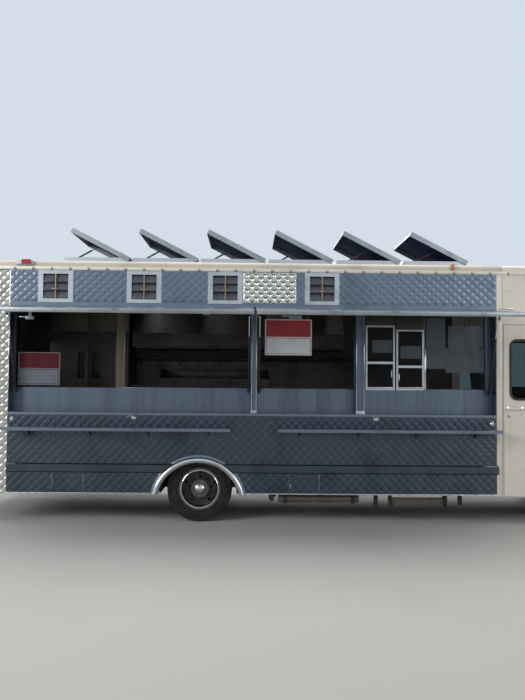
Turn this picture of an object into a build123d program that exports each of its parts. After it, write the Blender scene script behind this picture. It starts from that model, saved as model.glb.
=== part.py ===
from build123d import *
from math import cos, hypot, radians, sin
import os

# Catering truck with a stainless kitchen body. Lengths are in millimetres and
# angles in degrees. X runs to the front, Y to the driver's side, Z up. The
# service side, with the two awning doors and the shelves, faces -Y.

# Chassis and body envelope
wheelbase = 5080
rear_overhang = 2950
body_rear = -2800
front_overhang = 860
body_width = 2360
mirror_reach = 230
bumper_depth = 90
skirt_z = 350
wall = 50
wall_top_z = 3130
roof_edge_z = 3250
roof_crown = 42
roof_wall = 45

# Service opening, recess and windows
opening_rear = 2380
sill_z = 1355
apron_top_z = 1667
header_z = 2650
opening_top_z = 2690
recess_depth = 190
recess_wall = 25
recess_sheet = 20
post_depth = 40

# Awning doors, hinged along the top of the service opening
hinge_z = 2682
hinge_stand_off = 6
hinge_gap = 7
hinge_barrel = 5.5
leaf = 3
awning_length = 1313
awning_thickness = 42
awning_slope = 6.5
awning_end_gap = 5
awning_middle_gap = 25

# Gas struts of the awning doors
strut_base_z = 1620
strut_base_y = 120
strut_inset = 38
strut_pin_along = 260
strut_pin_below = 110
strut_barrel = 14
strut_rod = 6
strut_eye = 12
strut_lug = 10
strut_side_gap = 1

# Roof hatches
hatch_count = 6
hatch_pitch = 910
hatch_length = 832
hatch_width = 1100
curb_wall = 20
curb_bottom_z = 3205
curb_top_z = 3395
lid_overlap = 14
lid_sheet = 4
lid_plate = 8
lid_rim = 65
lid_angle = 27
lid_gap = 4
lid_barrel = 4.5
lid_hinge_y = 400
hinge_play = 0.3
hatch_strut_length = 398
hatch_strut_base = 714
hatch_strut_rise = 35
hatch_strut_angle = 29
hatch_strut_fold = 37
hatch_strut_barrel = 11
hatch_strut_barrel_length = 235
hatch_strut_rod = 5
hatch_strut_eye = 8
hatch_strut_inset = 36

# Wheels and tyres
tyre_radius = 404
tyre_half = 108
bead_radius = 248
flange_radius = 262
rim_half = 97
barrel_radius = 247
rim_wall = 11
disc = 12
dual_mate = body_width / 2 - 300
dual_half_spacing = 130
front_track_half = body_width / 2 - 220
front_dish = 120
kingpin_half = front_track_half - 60
kingpin_radius = 19
rear_spindle = 45
front_spindle = 30
spindle_clearance = 0.5

# Frame, axles and springs
rail_top = 680
rail_height = 200
rail_flange = 70
rail_wall = 8
crossmember_height = 70
spring_y = dual_mate - 350
rail_spread = 2 * spring_y - 200
spring_width = 75
spring_leaf = 14
spring_radius = 1800
spring_seat_z = 470
axle_tube = 65

# Floor and cab
floor_top = 800
floor_thickness = 60
cab_rear = wheelbase - 1290
opening_front = cab_rear - 75
cab_face = wheelbase + front_overhang - bumper_depth
door_rear = cab_rear + 15
door_front = door_rear + 740
door_top_z = 2500
door_gap = 6
door_thickness = 45
windshield_foot_z = 1560
windshield_foot_x = cab_face - 50
windshield_head_z = 2700
windshield_head_x = cab_face - 290
glass = 6
arch_radius_front = 500

# Wheel arch of the kitchen body
arch_offset = -15
arch_z = 217
arch_inner = 515
arch_outer = 594
arch_proud = 28

# Everything stands around the middle of the truck's box
sloped = radians(awning_slope)
awning_reach = hinge_stand_off + (hinge_gap + awning_length) * cos(sloped)
rear_axle_x = (rear_overhang - wheelbase - front_overhang) / 2
front_axle_x = rear_axle_x + wheelbase
centre_y = (awning_reach - mirror_reach) / 2
service_y = centre_y - body_width / 2
street_y = centre_y + body_width / 2
inner_half = body_width / 2 - wall
body_rear_x = rear_axle_x + body_rear
side_rear_x = body_rear_x + wall
cab_rear_x = rear_axle_x + cab_rear
cab_face_x = rear_axle_x + cab_face
axle_z = tyre_radius
SIDES = ((-1, "service"), (1, "street"))


def side_plane(y):
    """Sketch plane of a side wall: sketch x is X, sketch y is Z, extrusion runs to -Y."""
    return Plane(origin=(0, y, 0), x_dir=(1, 0, 0), z_dir=(0, -1, 0))


def at(x, y, z):
    """Point from its distance ahead of the rear axle, off the middle, and above ground."""
    return (rear_axle_x + x, centre_y + y, z)


def span(low, high):
    """Middle and length of the stretch between two values."""
    return (low + high) / 2, high - low


def block(x, y, z, mode=Mode.ADD):
    """Box between pairs of limits, measured as at() measures."""
    (mid_x, long), (mid_y, wide), (mid_z, tall) = span(*x), span(*y), span(*z)
    with Locations(at(mid_x, mid_y, mid_z)):
        return Box(long, wide, tall, mode=mode)


def side_block(side, x, y, z, mode=Mode.ADD):
    """Box on one side of the truck, with y measured outwards from the middle."""
    low, high = sorted((side * y[0], side * y[1]))
    return block(x, (low, high), z, mode)


os.makedirs("parts", exist_ok=True)

# Ladder frame: two channel rails that open inwards, joined by crossmembers
rail_rear = body_rear + wall
rail_front = cab_face - 60
CROSSMEMBERS = (-2600, -1500, -640, 640, 1900, wheelbase - 1980, rail_front - 90)
with BuildPart() as chassis_frame:
    with BuildSketch(Plane.YZ.offset(rear_axle_x + rail_rear)):
        for side, _ in SIDES:
            middle = centre_y + side * (rail_spread - rail_flange) / 2
            with Locations((middle, rail_top - rail_height / 2)):
                Rectangle(rail_flange, rail_height)
            with Locations((middle - side * rail_wall, rail_top - rail_height / 2)):
                Rectangle(rail_flange, rail_height - 2 * rail_wall, mode=Mode.SUBTRACT)
    extrude(amount=rail_front - rail_rear)
    web = rail_spread / 2 - rail_wall
    member_top = rail_top - rail_wall
    for x in CROSSMEMBERS:
        block((x - 35, x + 35), (-web, web), (member_top - crossmember_height, member_top))
chassis_frame.part.label = "chassis_frame"
export_step(chassis_frame.part, "parts/chassis_frame.step")

# Leaf springs: four leaves on each pack, shortest at the bottom, eyes on the top leaf
LEAF_HALF_LENGTHS = (260, 390, 520, 650)
spring_eye = 26


def spring_point(axle_x, radius, angle):
    """Point of the spring's arc, at an angle from straight below its centre."""
    centre_z = spring_seat_z + spring_radius
    return (axle_x + radius * sin(angle), centre_z - radius * cos(angle))


with BuildPart() as leaf_springs:
    for axle_x in (rear_axle_x, front_axle_x):
        for side, _ in SIDES:
            outer_y = centre_y + side * spring_y + spring_width / 2
            with BuildSketch(side_plane(outer_y)):
                for count, half in enumerate(LEAF_HALF_LENGTHS):
                    low = spring_radius - count * spring_leaf
                    high = low - spring_leaf
                    turn = half / spring_radius
                    with BuildLine():
                        a = spring_point(axle_x, low, -turn)
                        b = spring_point(axle_x, low, turn)
                        c = spring_point(axle_x, high, turn)
                        d = spring_point(axle_x, high, -turn)
                        ThreePointArc(a, spring_point(axle_x, low, 0), b)
                        Line(b, c)
                        ThreePointArc(c, spring_point(axle_x, high, 0), d)
                        Line(d, a)
                    make_face()
                reach = LEAF_HALF_LENGTHS[-1] / spring_radius
                top = spring_radius - len(LEAF_HALF_LENGTHS) * spring_leaf
                for turn in (-reach, reach):
                    with Locations(spring_point(axle_x, top, turn)):
                        Circle(spring_eye)
            extrude(amount=spring_width)
            # Hangers between each spring eye and the frame rail
            for turn in (-reach, reach):
                x, z = spring_point(axle_x, top, turn)
                inner, outer = sorted((side * rail_spread / 2, side * (spring_y + spring_width / 2)))
                wide_mid, wide = span(inner, outer)
                with Locations((x, centre_y + wide_mid, span(z + 6, rail_top)[0])):
                    Box(70, wide, rail_top - z - 6)
leaf_springs.part.label = "leaf_springs"
export_step(leaf_springs.part, "parts/leaf_springs.step")

# Front axle: forged beam with a dropped middle, kingpin eyes and spring pads
beam_depth = 90
eye_radius = 42
eye_height = 130
kingpin_height = 230
with BuildPart() as front_axle:
    end = kingpin_half - eye_radius / 2
    with BuildSketch(Plane.YZ.offset(front_axle_x)):
        half_outline = [
            (spring_y + 30, 310), (spring_y + 190, 360), (end, 360),
            (end, 448), (spring_y + 170, 448), (spring_y + 10, 410),
        ]
        with BuildLine():
            right = [(centre_y + y, z) for y, z in half_outline]
            left = [(centre_y - y, z) for y, z in reversed(half_outline)]
            Polyline(*right, *left, close=True)
        make_face()
    extrude(amount=beam_depth / 2, both=True)
    for face in (-1, 1):
        with Locations((front_axle_x + face * (beam_depth / 2 - 7), centre_y, 360)):
            Box(30, 2 * (spring_y - 20), 56, mode=Mode.SUBTRACT)
    for side, _ in SIDES:
        with Locations((front_axle_x, centre_y + side * kingpin_half, axle_z)):
            Cylinder(eye_radius, eye_height)
            Cylinder(kingpin_radius, kingpin_height)
        with Locations((front_axle_x, centre_y + side * spring_y, span(400, spring_seat_z)[0])):
            Box(120, spring_width, spring_seat_z - 400)
front_axle.part.label = "front_axle"
export_step(front_axle.part, "parts/front_axle.step")

# Rear axle: tube with a round differential housing, cover, pinion nose and pads
diff_radius = 185
diff_half = 95
pinion_reach = 300
pinion_z = axle_z + 26
tube_end = dual_mate - 20
spindle_end = dual_mate + 160
backing_y = dual_mate - 180
with BuildPart() as rear_axle:
    with BuildSketch(Plane(origin=(rear_axle_x, centre_y, axle_z), z_dir=(0, 1, 0))):
        Circle(axle_tube)
    extrude(amount=tube_end, both=True)
    with BuildSketch(Plane(origin=(rear_axle_x, centre_y, axle_z), z_dir=(0, 1, 0))):
        Circle(rear_spindle)
    extrude(amount=spindle_end, both=True)
    with BuildSketch(Plane(origin=(rear_axle_x, centre_y, axle_z), z_dir=(1, 0, 0))):
        Circle(diff_radius)
    extrude(amount=diff_half, both=True)
    with BuildSketch(Plane(origin=(rear_axle_x - diff_half, centre_y, axle_z), z_dir=(-1, 0, 0))):
        Circle(diff_radius - 25)
    extrude(amount=60, taper=35)
    with BuildSketch(Plane(origin=(rear_axle_x + diff_half, centre_y, pinion_z), z_dir=(1, 0, 0))):
        Circle(110)
    extrude(amount=pinion_reach - diff_half, taper=12)
    for side, _ in SIDES:
        with BuildSketch(side_plane(centre_y + side * backing_y)):
            with Locations((rear_axle_x, axle_z)):
                Circle(diff_radius)
        extrude(amount=5, both=True)
        with Locations((rear_axle_x, centre_y + side * spring_y, span(axle_z, spring_seat_z)[0])):
            Box(120, spring_width, spring_seat_z - axle_z)
rear_axle.part.label = "rear_axle"
export_step(rear_axle.part, "parts/rear_axle.step")

# Engine as one plain block, its gearbox and the shaft to the rear axle
engine_x = (wheelbase - 400, wheelbase + 400)
engine_half = 280
gearbox_length = 530
gearbox_z = 590
shaft_radius = 38
with BuildPart() as engine_and_driveshaft:
    block(engine_x, (-engine_half, engine_half), (520, 1140))
    for x in (engine_x[0] + 120, engine_x[1] - 140):
        block((x, x + 60), (-web, web), (rail_top - rail_height + rail_wall, 540))
    gearbox_end = at(engine_x[0] - gearbox_length, 0, gearbox_z)
    with BuildSketch(Plane(origin=gearbox_end, z_dir=(1, 0, 0))):
        Circle(105)
    extrude(amount=gearbox_length, taper=-5)
    shaft_start = Vector(gearbox_end)
    shaft_end = Vector(at(pinion_reach, 0, pinion_z))
    with BuildSketch(Plane(origin=shaft_start, z_dir=shaft_end - shaft_start)):
        Circle(shaft_radius)
    extrude(amount=(shaft_end - shaft_start).length - 8)
engine_and_driveshaft.part.label = "engine_and_driveshaft"
export_step(engine_and_driveshaft.part, "parts/engine_and_driveshaft.step")

# Fuel tank with its two straps' brackets, and the silencer with its pipe
tank_y = rail_spread / 2 + 260
silencer_y = -rail_spread / 2 - 190
silencer_z = 440
pipe_radius = 34
with BuildPart() as tank_and_exhaust:
    with BuildSketch(Plane(origin=at(1500, 0, 0), z_dir=(1, 0, 0), x_dir=(0, 1, 0))):
        with Locations((tank_y, 500)):
            RectangleRounded(380, 320, 60)
    extrude(amount=1000)
    for x in (1650, 2290):
        block((x, x + 60), (rail_spread / 2, tank_y - 180), (560, 640))
    with BuildSketch(Plane(origin=at(2300, silencer_y, silencer_z), z_dir=(1, 0, 0))):
        Circle(110)
    extrude(amount=760)
    for x in (2380, 2920):
        block((x, x + 50), (silencer_y - 20, -rail_spread / 2), (silencer_z + 90, silencer_z + 130))
    with BuildLine() as front_pipe:
        FilletPolyline(
            at(3040, silencer_y, silencer_z),
            at(engine_x[0] - 380, silencer_y, silencer_z),
            at(engine_x[0] - 200, -240, silencer_z),
            at(engine_x[0] - 90, -240, 600),
            at(engine_x[0], -240, 600),
            radius=60,
        )
    with BuildSketch(Plane(origin=front_pipe.line @ 0, z_dir=front_pipe.line % 0)):
        Circle(pipe_radius)
    sweep(path=front_pipe.line)
    with BuildLine() as tail_pipe:
        FilletPolyline(
            at(2320, silencer_y, silencer_z),
            at(1100, silencer_y, silencer_z),
            at(900, -body_width / 2 + 180, 300),
            at(900, -body_width / 2 + 30, 300),
            radius=60,
        )
    with BuildSketch(Plane(origin=tail_pipe.line @ 0, z_dir=tail_pipe.line % 0)):
        Circle(pipe_radius)
    sweep(path=tail_pipe.line)
tank_and_exhaust.part.label = "tank_and_exhaust"
export_step(tank_and_exhaust.part, "parts/tank_and_exhaust.step")

# Floor: deck on cross sills, wheel houses down to the skirt, step wells, engine opening
SILLS = (-2650, -2100, -1500, -900, 900, 1500, 2100, 2700, 3300, cab_rear - 50)
deck_low = floor_top - floor_thickness
rear_house = (-500, 480)
rear_house_y = dual_mate - 280
rear_house_top = 880
front_house = (wheelbase - 505, wheelbase + 510)
front_house_y = front_track_half - 380
front_house_top = 910
house_sheet = 20
house_notch = 160
house_notch_z = 560
well_y = body_width / 2 - 390
well_z = 420
step_y = body_width / 2 - 250
step_z = 610
engine_hole = (wheelbase - 480, wheelbase + 480)
engine_hole_y = 335
with BuildPart() as floor:
    block((rail_rear, rail_front), (-inner_half, inner_half), (deck_low, floor_top))
    block(engine_hole, (-engine_hole_y, engine_hole_y), (0, floor_top + 1), Mode.SUBTRACT)
    for x in SILLS:
        block((x - 30, x + 30), (-inner_half, inner_half), (rail_top, deck_low))
    HOUSES = (
        # axle, stretch along X, inner wall, top
        (0, rear_house, rear_house_y, rear_house_top),
        (wheelbase, front_house, front_house_y, front_house_top),
    )
    for axle, (x0, x1), y, top in HOUSES:
        for side, _ in SIDES:
            side_block(side, (x0, x1), (y, inner_half), (skirt_z + 10, top))
            inside = (x0 + house_sheet, x1 - house_sheet)
            edge = y + house_sheet
            side_block(side, inside, (edge, inner_half + 1), (0, top - house_sheet), Mode.SUBTRACT)
            # Notch in the inner wall for the axle
            notch = (axle - house_notch, axle + house_notch)
            side_block(side, notch, (y - 1, edge + 1), (0, house_notch_z), Mode.SUBTRACT)
    for side, _ in SIDES:
        well = (door_rear, door_front)
        side_block(side, well, (well_y, inner_half), (0, floor_top + 1), Mode.SUBTRACT)
        side_block(side, well, (well_y, inner_half), (well_z, well_z + house_sheet))
        side_block(side, well, (well_y, step_y), (well_z, step_z))
        side_block(side, well, (well_y, well_y + house_sheet), (well_z, floor_top))
        for x in (door_rear, door_front - house_sheet):
            plate = (x, x + house_sheet)
            side_block(side, plate, (well_y, inner_half), (well_z, floor_top))
floor.part.label = "floor"
export_step(floor.part, "parts/floor.step")

# Service wall: one wall with the long opening, arch, vents and two access doors
VENT_CENTRES = (-1821, -719, 297, 1515)
vent_opening = 320
vent_z = 2925
ACCESS_DOORS = (
    # name, rear edge, front edge
    ("rear", -1806, -1443),
    ("front", 1133, 1486),
)
access_low = 356
access_high = 603
access_gap = 5
with BuildPart() as service_wall:
    with BuildSketch(side_plane(service_y)):
        middle, length = span(side_rear_x, cab_rear_x)
        height_mid, height = span(skirt_z, wall_top_z)
        with Locations((middle, height_mid)):
            Rectangle(length, height)
        middle, length = span(rear_axle_x - opening_rear, rear_axle_x + opening_front)
        height_mid, height = span(sill_z, opening_top_z)
        with Locations((middle, height_mid)):
            Rectangle(length, height, mode=Mode.SUBTRACT)
        with Locations((rear_axle_x + arch_offset, arch_z)):
            Circle(arch_inner, mode=Mode.SUBTRACT)
        with Locations(*[(rear_axle_x + x, vent_z) for x in VENT_CENTRES]):
            Rectangle(vent_opening, vent_opening, mode=Mode.SUBTRACT)
        for _, low, high in ACCESS_DOORS:
            middle, length = span(rear_axle_x + low, rear_axle_x + high)
            height_mid, height = span(access_low, access_high)
            with Locations((middle, height_mid)):
                Rectangle(length, height, mode=Mode.SUBTRACT)
    extrude(amount=-wall)
    # Fixed leaf of the awning doors' long hinge
    out = body_width / 2
    strip = (-opening_rear + awning_end_gap, opening_front - awning_end_gap)
    strip_low = hinge_z + hinge_barrel
    block(strip, (-out - leaf, -out), (strip_low, strip_low + 34))
service_wall.part.label = "service_wall"
export_step(service_wall.part, "parts/service_wall.step")

# Window wall: back of the service recess, its four returns, header and posts
window_top_z = header_z - 25
WINDOWS = (
    # rear edge, front edge, bottom, top, height of the sash bar or 0 for no frame, glazed
    (-2350, -1095, apron_top_z, window_top_z, 0, True),
    (-975, 620, apron_top_z, window_top_z, 0, False),
    (715, 1950, apron_top_z, window_top_z, 0, False),
    (2118, 2448, 1681, 2464, 2007, True),
    (2512, 2822, 1681, 2413, 1960, True),
    (2870, opening_front - 90, 1681, window_top_z, 0, True),
)
POSTS = ((635, 701), (1956, 2061))
recess_y = body_width / 2 - recess_depth
awning_meeting = span(*POSTS[0])[0]
AWNINGS = (
    # awning, rear edge, front edge
    ("rear", -opening_rear + awning_end_gap, awning_meeting - awning_middle_gap / 2),
    ("front", awning_meeting + awning_middle_gap / 2, opening_front - awning_end_gap),
)
header_rise = 150
strut_pin = 6
strut_base_half = 20
with BuildPart() as window_wall:
    low_x, high_x = -opening_rear - recess_sheet, opening_front + recess_sheet
    low_z = sill_z - recess_sheet
    back = -recess_y + recess_wall
    block((low_x, high_x), (-recess_y, back), (low_z, header_z + header_rise))
    front = -inner_half
    block((low_x, high_x), (front, -recess_y), (low_z, sill_z))
    block((low_x, high_x), (front, -recess_y), (header_z, header_z + recess_sheet))
    block((low_x, high_x), (front, front + recess_sheet), (header_z, header_z + header_rise))
    for x in (low_x, high_x - recess_sheet):
        block((x, x + recess_sheet), (front, -recess_y), (low_z, header_z + recess_sheet))
    for x in POSTS:
        block(x, (front, front + post_depth), (sill_z, header_z))
    for x0, x1, z0, z1, _, _ in WINDOWS:
        block((x0, x1), (-recess_y - 1, back + 1), (z0, z1), Mode.SUBTRACT)
    # Brackets and pins that carry the awning struts
    for _, x0, x1 in AWNINGS:
        for x, way in ((x0 + strut_inset, 1), (x1 - strut_inset, -1)):
            lug = sorted((x, x - way * strut_lug))
            base = -body_width / 2 + strut_base_y
            tall = (strut_base_z - strut_base_half, strut_base_z + strut_base_half)
            block(lug, (base - strut_base_half + 4, -recess_y), tall)
            with BuildSketch(Plane(origin=at(x, base, strut_base_z), z_dir=(way, 0, 0))):
                Circle(strut_pin)
            extrude(amount=strut_side_gap + 2 * strut_barrel - 2)
window_wall.part.label = "window_wall"
export_step(window_wall.part, "parts/window_wall.step")

# Bright frames round the two sliding windows, with the sash bars
frame_face = 22
sash_bar = 30
frame_proud = 12
with BuildPart() as window_frames:
    for x0, x1, z0, z1, sash, _ in [window for window in WINDOWS if window[4]]:
        edge = (-recess_y - frame_proud, -recess_y)
        outer_x, outer_z = (x0 - frame_face, x1 + frame_face), (z0 - frame_face, z1 + frame_face)
        block(outer_x, edge, outer_z)
        block((x0, x1), (edge[0] - 1, edge[1] + 1), (z0, z1), Mode.SUBTRACT)
        block((x0, x1), edge, (sash - sash_bar / 2, sash + sash_bar / 2))
window_frames.part.label = "window_frames"
export_step(window_frames.part, "parts/window_frames.step")

# Street wall: a plain wall with its wheel arch
with BuildPart() as street_wall:
    with BuildSketch(side_plane(street_y)):
        middle, length = span(side_rear_x, cab_rear_x)
        height_mid, height = span(skirt_z, wall_top_z)
        with Locations((middle, height_mid)):
            Rectangle(length, height)
        with Locations((rear_axle_x + arch_offset, arch_z)):
            Circle(arch_inner, mode=Mode.SUBTRACT)
    extrude(amount=wall)
street_wall.part.label = "street_wall"
export_step(street_wall.part, "parts/street_wall.step")

# Rear wall with the door opening
rear_door_half = 400
BUMPER_ARMS = (-rail_spread / 2 + 40, rail_spread / 2 - 40)
arm_half = 35
rear_arm_z = (480, 530)
rear_door_top = 2720
with BuildPart() as rear_wall:
    half = body_width / 2
    block((body_rear, body_rear + wall), (-half, half), (skirt_z, wall_top_z))
    through = (body_rear - 1, body_rear + wall + 1)
    opening = (floor_top, rear_door_top)
    block(through, (-rear_door_half, rear_door_half), opening, Mode.SUBTRACT)
    for y in BUMPER_ARMS:
        block(through, (y - arm_half, y + arm_half), rear_arm_z, Mode.SUBTRACT)
rear_wall.part.label = "rear_wall"
export_step(rear_wall.part, "parts/rear_wall.step")


def roof_outline(half, low_z, shoulder_z, drop):
    """Crowned roof line over straight sides, from one foot to the other."""
    corner = shoulder_z - drop
    edge = half - drop
    Line((centre_y - half, low_z), (centre_y - half, corner))
    bow = drop * (1 - sin(radians(45)))
    ThreePointArc(
        (centre_y - half, corner),
        (centre_y - half + bow, shoulder_z - bow),
        (centre_y - edge, shoulder_z),
    )
    crown = (centre_y, shoulder_z + roof_crown)
    ThreePointArc((centre_y - edge, shoulder_z), crown, (centre_y + edge, shoulder_z))
    ThreePointArc(
        (centre_y + edge, shoulder_z),
        (centre_y + half - bow, shoulder_z - bow),
        (centre_y + half, corner),
    )
    Line((centre_y + half, corner), (centre_y + half, low_z))
    Line((centre_y + half, low_z), (centre_y - half, low_z))


# Roof: crowned cap on the walls, with six hatch openings
roof_drop = 45
roof_proud = 5
hatch_rear = -1876
HATCHES = tuple(hatch_rear + count * hatch_pitch for count in range(hatch_count))
with BuildPart() as roof:
    with BuildSketch(Plane.YZ.offset(body_rear_x)):
        with BuildLine():
            roof_outline(body_width / 2 + roof_proud, wall_top_z, roof_edge_z, roof_drop)
        make_face()
        with BuildLine():
            roof_outline(inner_half, wall_top_z - 1, roof_edge_z - roof_wall, 15)
        make_face(mode=Mode.SUBTRACT)
    extrude(amount=cab_rear_x - body_rear_x)
    # Closed end over the rear wall
    with BuildSketch(Plane.YZ.offset(body_rear_x)):
        with BuildLine():
            roof_outline(body_width / 2 + roof_proud, wall_top_z, roof_edge_z, roof_drop)
        make_face()
    extrude(amount=wall)
    for x in HATCHES:
        hole = (x, x + hatch_length)
        wide = (-hatch_width / 2, hatch_width / 2)
        block(hole, wide, (curb_bottom_z - 50, curb_top_z), Mode.SUBTRACT)
roof.part.label = "roof"
export_step(roof.part, "parts/roof.step")

# Curbs of the roof hatches, each with the lug and pin of its gas strut
lid_hinge_z = curb_top_z + 10 - lid_rim
lid_front = hatch_length + lid_overlap
lid_axis = lid_front + lid_gap
strut_y = -hatch_width / 2 + curb_wall + hatch_strut_inset
hatch_pin = 4
with BuildPart() as hatch_curbs:
    for x in HATCHES:
        hole = (x, x + hatch_length)
        wide = hatch_width / 2
        block(hole, (-wide, wide), (curb_bottom_z, curb_top_z))
        inside = (hole[0] + curb_wall, hole[1] - curb_wall)
        wide_inside = wide - curb_wall
        deep = (curb_bottom_z - 1, curb_top_z + 1)
        block(inside, (-wide_inside, wide_inside), deep, Mode.SUBTRACT)
        # Lug and pin
        base_x = x + lid_axis - hatch_strut_base
        base_z = lid_hinge_z + hatch_strut_rise
        lug_end = strut_y - hatch_strut_barrel - strut_side_gap
        block((base_x - 12, base_x + 12), (-wide_inside, lug_end), (base_z - 40, base_z + 10))
        with BuildSketch(Plane(origin=at(base_x, lug_end, base_z), z_dir=(0, 1, 0))):
            Circle(hatch_pin)
        extrude(amount=2 * hatch_strut_barrel + strut_side_gap)
        # Fixed leaf of the lid's hinge
        leaf_x = (x + hatch_length, x + lid_axis + lid_barrel)
        leaf_top = lid_hinge_z - lid_barrel - hinge_play
        for y in (-lid_hinge_y, lid_hinge_y):
            block(leaf_x, (y - 40, y + 40), (leaf_top - 10, leaf_top))
hatch_curbs.part.label = "hatch_curbs"
export_step(hatch_curbs.part, "parts/hatch_curbs.step")

# Hatch lids, open at their angle: pan with folded rims and a hinge at its front foot
lean = radians(lid_angle)
lid_length = hatch_length + 2 * lid_overlap
lid_half_width = hatch_width / 2 + lid_overlap
lid_pin_x = -hatch_strut_base + hatch_strut_length * cos(radians(hatch_strut_angle))
lid_pin_z = hatch_strut_rise + hatch_strut_length * sin(radians(hatch_strut_angle))
# The strut's pin in the lid's own closed frame
pin_along = lid_pin_x * cos(lean) - lid_pin_z * sin(lean)
pin_up = lid_pin_x * sin(lean) + lid_pin_z * cos(lean)
for count, x in enumerate(HATCHES, start=1):
    lid_plane = Plane(
        origin=at(x + lid_axis, 0, lid_hinge_z),
        x_dir=(cos(lean), 0, -sin(lean)),
        z_dir=(sin(lean), 0, cos(lean)),
    )
    with BuildPart(lid_plane) as hatch_lid:
        back = -lid_gap - lid_length
        middle = span(back, -lid_gap)[0]
        with Locations((middle, 0, lid_rim / 2)):
            Box(lid_length, 2 * lid_half_width, lid_rim)
        with Locations((middle, 0, (lid_rim - lid_plate) / 2 - 0.5)):
            inner_length = lid_length - 2 * lid_sheet
            inner_width = 2 * (lid_half_width - lid_sheet)
            Box(inner_length, inner_width, lid_rim - lid_plate + 1, mode=Mode.SUBTRACT)
        # Hinge barrels outside the front rim
        with Locations((0, -lid_hinge_y, 0), (0, lid_hinge_y, 0)):
            Cylinder(lid_barrel, 220, rotation=(90, 0, 0))
        # Lug that takes the strut's eye
        lug_foot = lid_rim - lid_plate
        lug_side = strut_y + hatch_strut_barrel + strut_side_gap + 4
        with Locations((pin_along, lug_side, (pin_up - 10 + lug_foot) / 2)):
            Box(24, 8, lug_foot - pin_up + 10)
    name = f"hatch_lid_{count}"
    hatch_lid.part.label = name
    export_step(hatch_lid.part, f"parts/{name}.step")

# Gas struts of the hatches: barrel, rod and the eyes at both ends
for count, x in enumerate(HATCHES, start=1):
    rise = radians(hatch_strut_angle)
    strut_plane = Plane(
        origin=at(x + lid_axis - hatch_strut_base, strut_y, lid_hinge_z + hatch_strut_rise),
        x_dir=(cos(rise), 0, sin(rise)),
        z_dir=(0, 1, 0),
    )
    with BuildPart(strut_plane) as hatch_strut:
        width = 2 * hatch_strut_barrel - 2
        Cylinder(hatch_strut_eye, width)
        with Locations((hatch_strut_length, 0, 0)):
            Cylinder(hatch_strut_eye, width)
        barrel_mid = 18 + hatch_strut_barrel_length / 2
        with Locations((barrel_mid, 0, 0)):
            Cylinder(hatch_strut_barrel, hatch_strut_barrel_length, rotation=(0, 90, 0))
        with Locations((hatch_strut_length / 2, 0, 0)):
            Cylinder(hatch_strut_rod, hatch_strut_length, rotation=(0, 90, 0))
        Cylinder(hatch_pin + 0.5, 2 * width, mode=Mode.SUBTRACT)
    name = f"hatch_strut_{count}"
    hatch_strut.part.label = name
    export_step(hatch_strut.part, f"parts/{name}.step")


cowl_drop = 160
cowl_set_back = 14
brow_set_back = 60
brow_rise = 330
brow_run = 360


def cab_space(inset):
    """Cab form between its side profile and its roofed cross-section, inset all round."""
    with BuildPart() as space:
        with BuildSketch(side_plane(centre_y)):
            face_x = cab_face_x - inset
            foot = (rear_axle_x + windshield_foot_x - inset, windshield_foot_z)
            head = (rear_axle_x + windshield_head_x - inset, windshield_head_z)
            brow_x = rear_axle_x + windshield_head_x - brow_set_back - inset
            brow = (brow_x, windshield_head_z + brow_rise)
            over_z = roof_edge_z + 60
            brow_end = (rear_axle_x + windshield_head_x - brow_run, over_z)
            cowl_z = windshield_foot_z - cowl_drop
            cowl = (face_x - cowl_set_back, cowl_z + 90)
            with BuildLine():
                Line((cab_rear_x, skirt_z), (face_x, skirt_z))
                Line((face_x, skirt_z), (face_x, cowl_z))
                ThreePointArc((face_x, cowl_z), cowl, foot)
                Line(foot, head)
                ThreePointArc(head, brow, brow_end)
                Line(brow_end, (cab_rear_x, over_z))
                Line((cab_rear_x, over_z), (cab_rear_x, skirt_z))
            make_face()
        extrude(amount=body_width / 2, both=True)
        with BuildSketch(Plane.YZ.offset(cab_rear_x - 1)):
            with BuildLine():
                half = body_width / 2 - inset
                roof_outline(half, skirt_z - 10, roof_edge_z - inset, roof_drop)
            make_face()
        extrude(amount=2200, mode=Mode.INTERSECT)
    return space.part


# Cab shell: nose, sides, brow and roof in one skin, with doors, arches and glass cut
shield_y = (45, body_width / 2 - 170)
shield_z = (windshield_foot_z + 90, windshield_head_z - 140)
quarter_x = (door_front + 155, door_front + 805)
quarter_z = (1700, 2400)
CAB_SHELL_CUTS = (
    # x limits, y limits, z limits
    ((windshield_foot_x - 500, cab_face + 50), shield_y, shield_z),
    (quarter_x, (inner_half - 30, body_width / 2 + 20), quarter_z),
)
bumper_arm_z = (490, 600)
grille_half = 420
grille_low = 760
grille_high = 1240
with BuildPart() as cab_shell:
    add(cab_space(0))
    add(cab_space(wall), mode=Mode.SUBTRACT)
    block((cab_rear - 1, cab_rear + 30), (-inner_half, inner_half), (0, roof_edge_z - wall), Mode.SUBTRACT)
    for x, y, z in CAB_SHELL_CUTS:
        for side, _ in SIDES:
            side_block(side, x, y, z, Mode.SUBTRACT)
    for side, _ in SIDES:
        door = (door_rear, door_front)
        side_block(side, door, (inner_half - 60, body_width / 2 + 20), (0, door_top_z), Mode.SUBTRACT)
        with BuildSketch(side_plane(centre_y + side * body_width / 2)):
            with Locations((front_axle_x, axle_z)):
                Circle(arch_radius_front)
        extrude(amount=wall + 20, both=True, mode=Mode.SUBTRACT)
    grille_depth = (cab_face - 150, cab_face + 50)
    block(grille_depth, (-grille_half, grille_half), (grille_low, grille_high), Mode.SUBTRACT)
    for y in BUMPER_ARMS:
        block((rail_front, cab_face + 1), (y - arm_half, y + arm_half), bumper_arm_z, Mode.SUBTRACT)
    block((cab_rear, rail_front), (-inner_half, inner_half), (0, deck_low - 100), Mode.SUBTRACT)
cab_shell.part.label = "cab_shell"
export_step(cab_shell.part, "parts/cab_shell.step")

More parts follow.
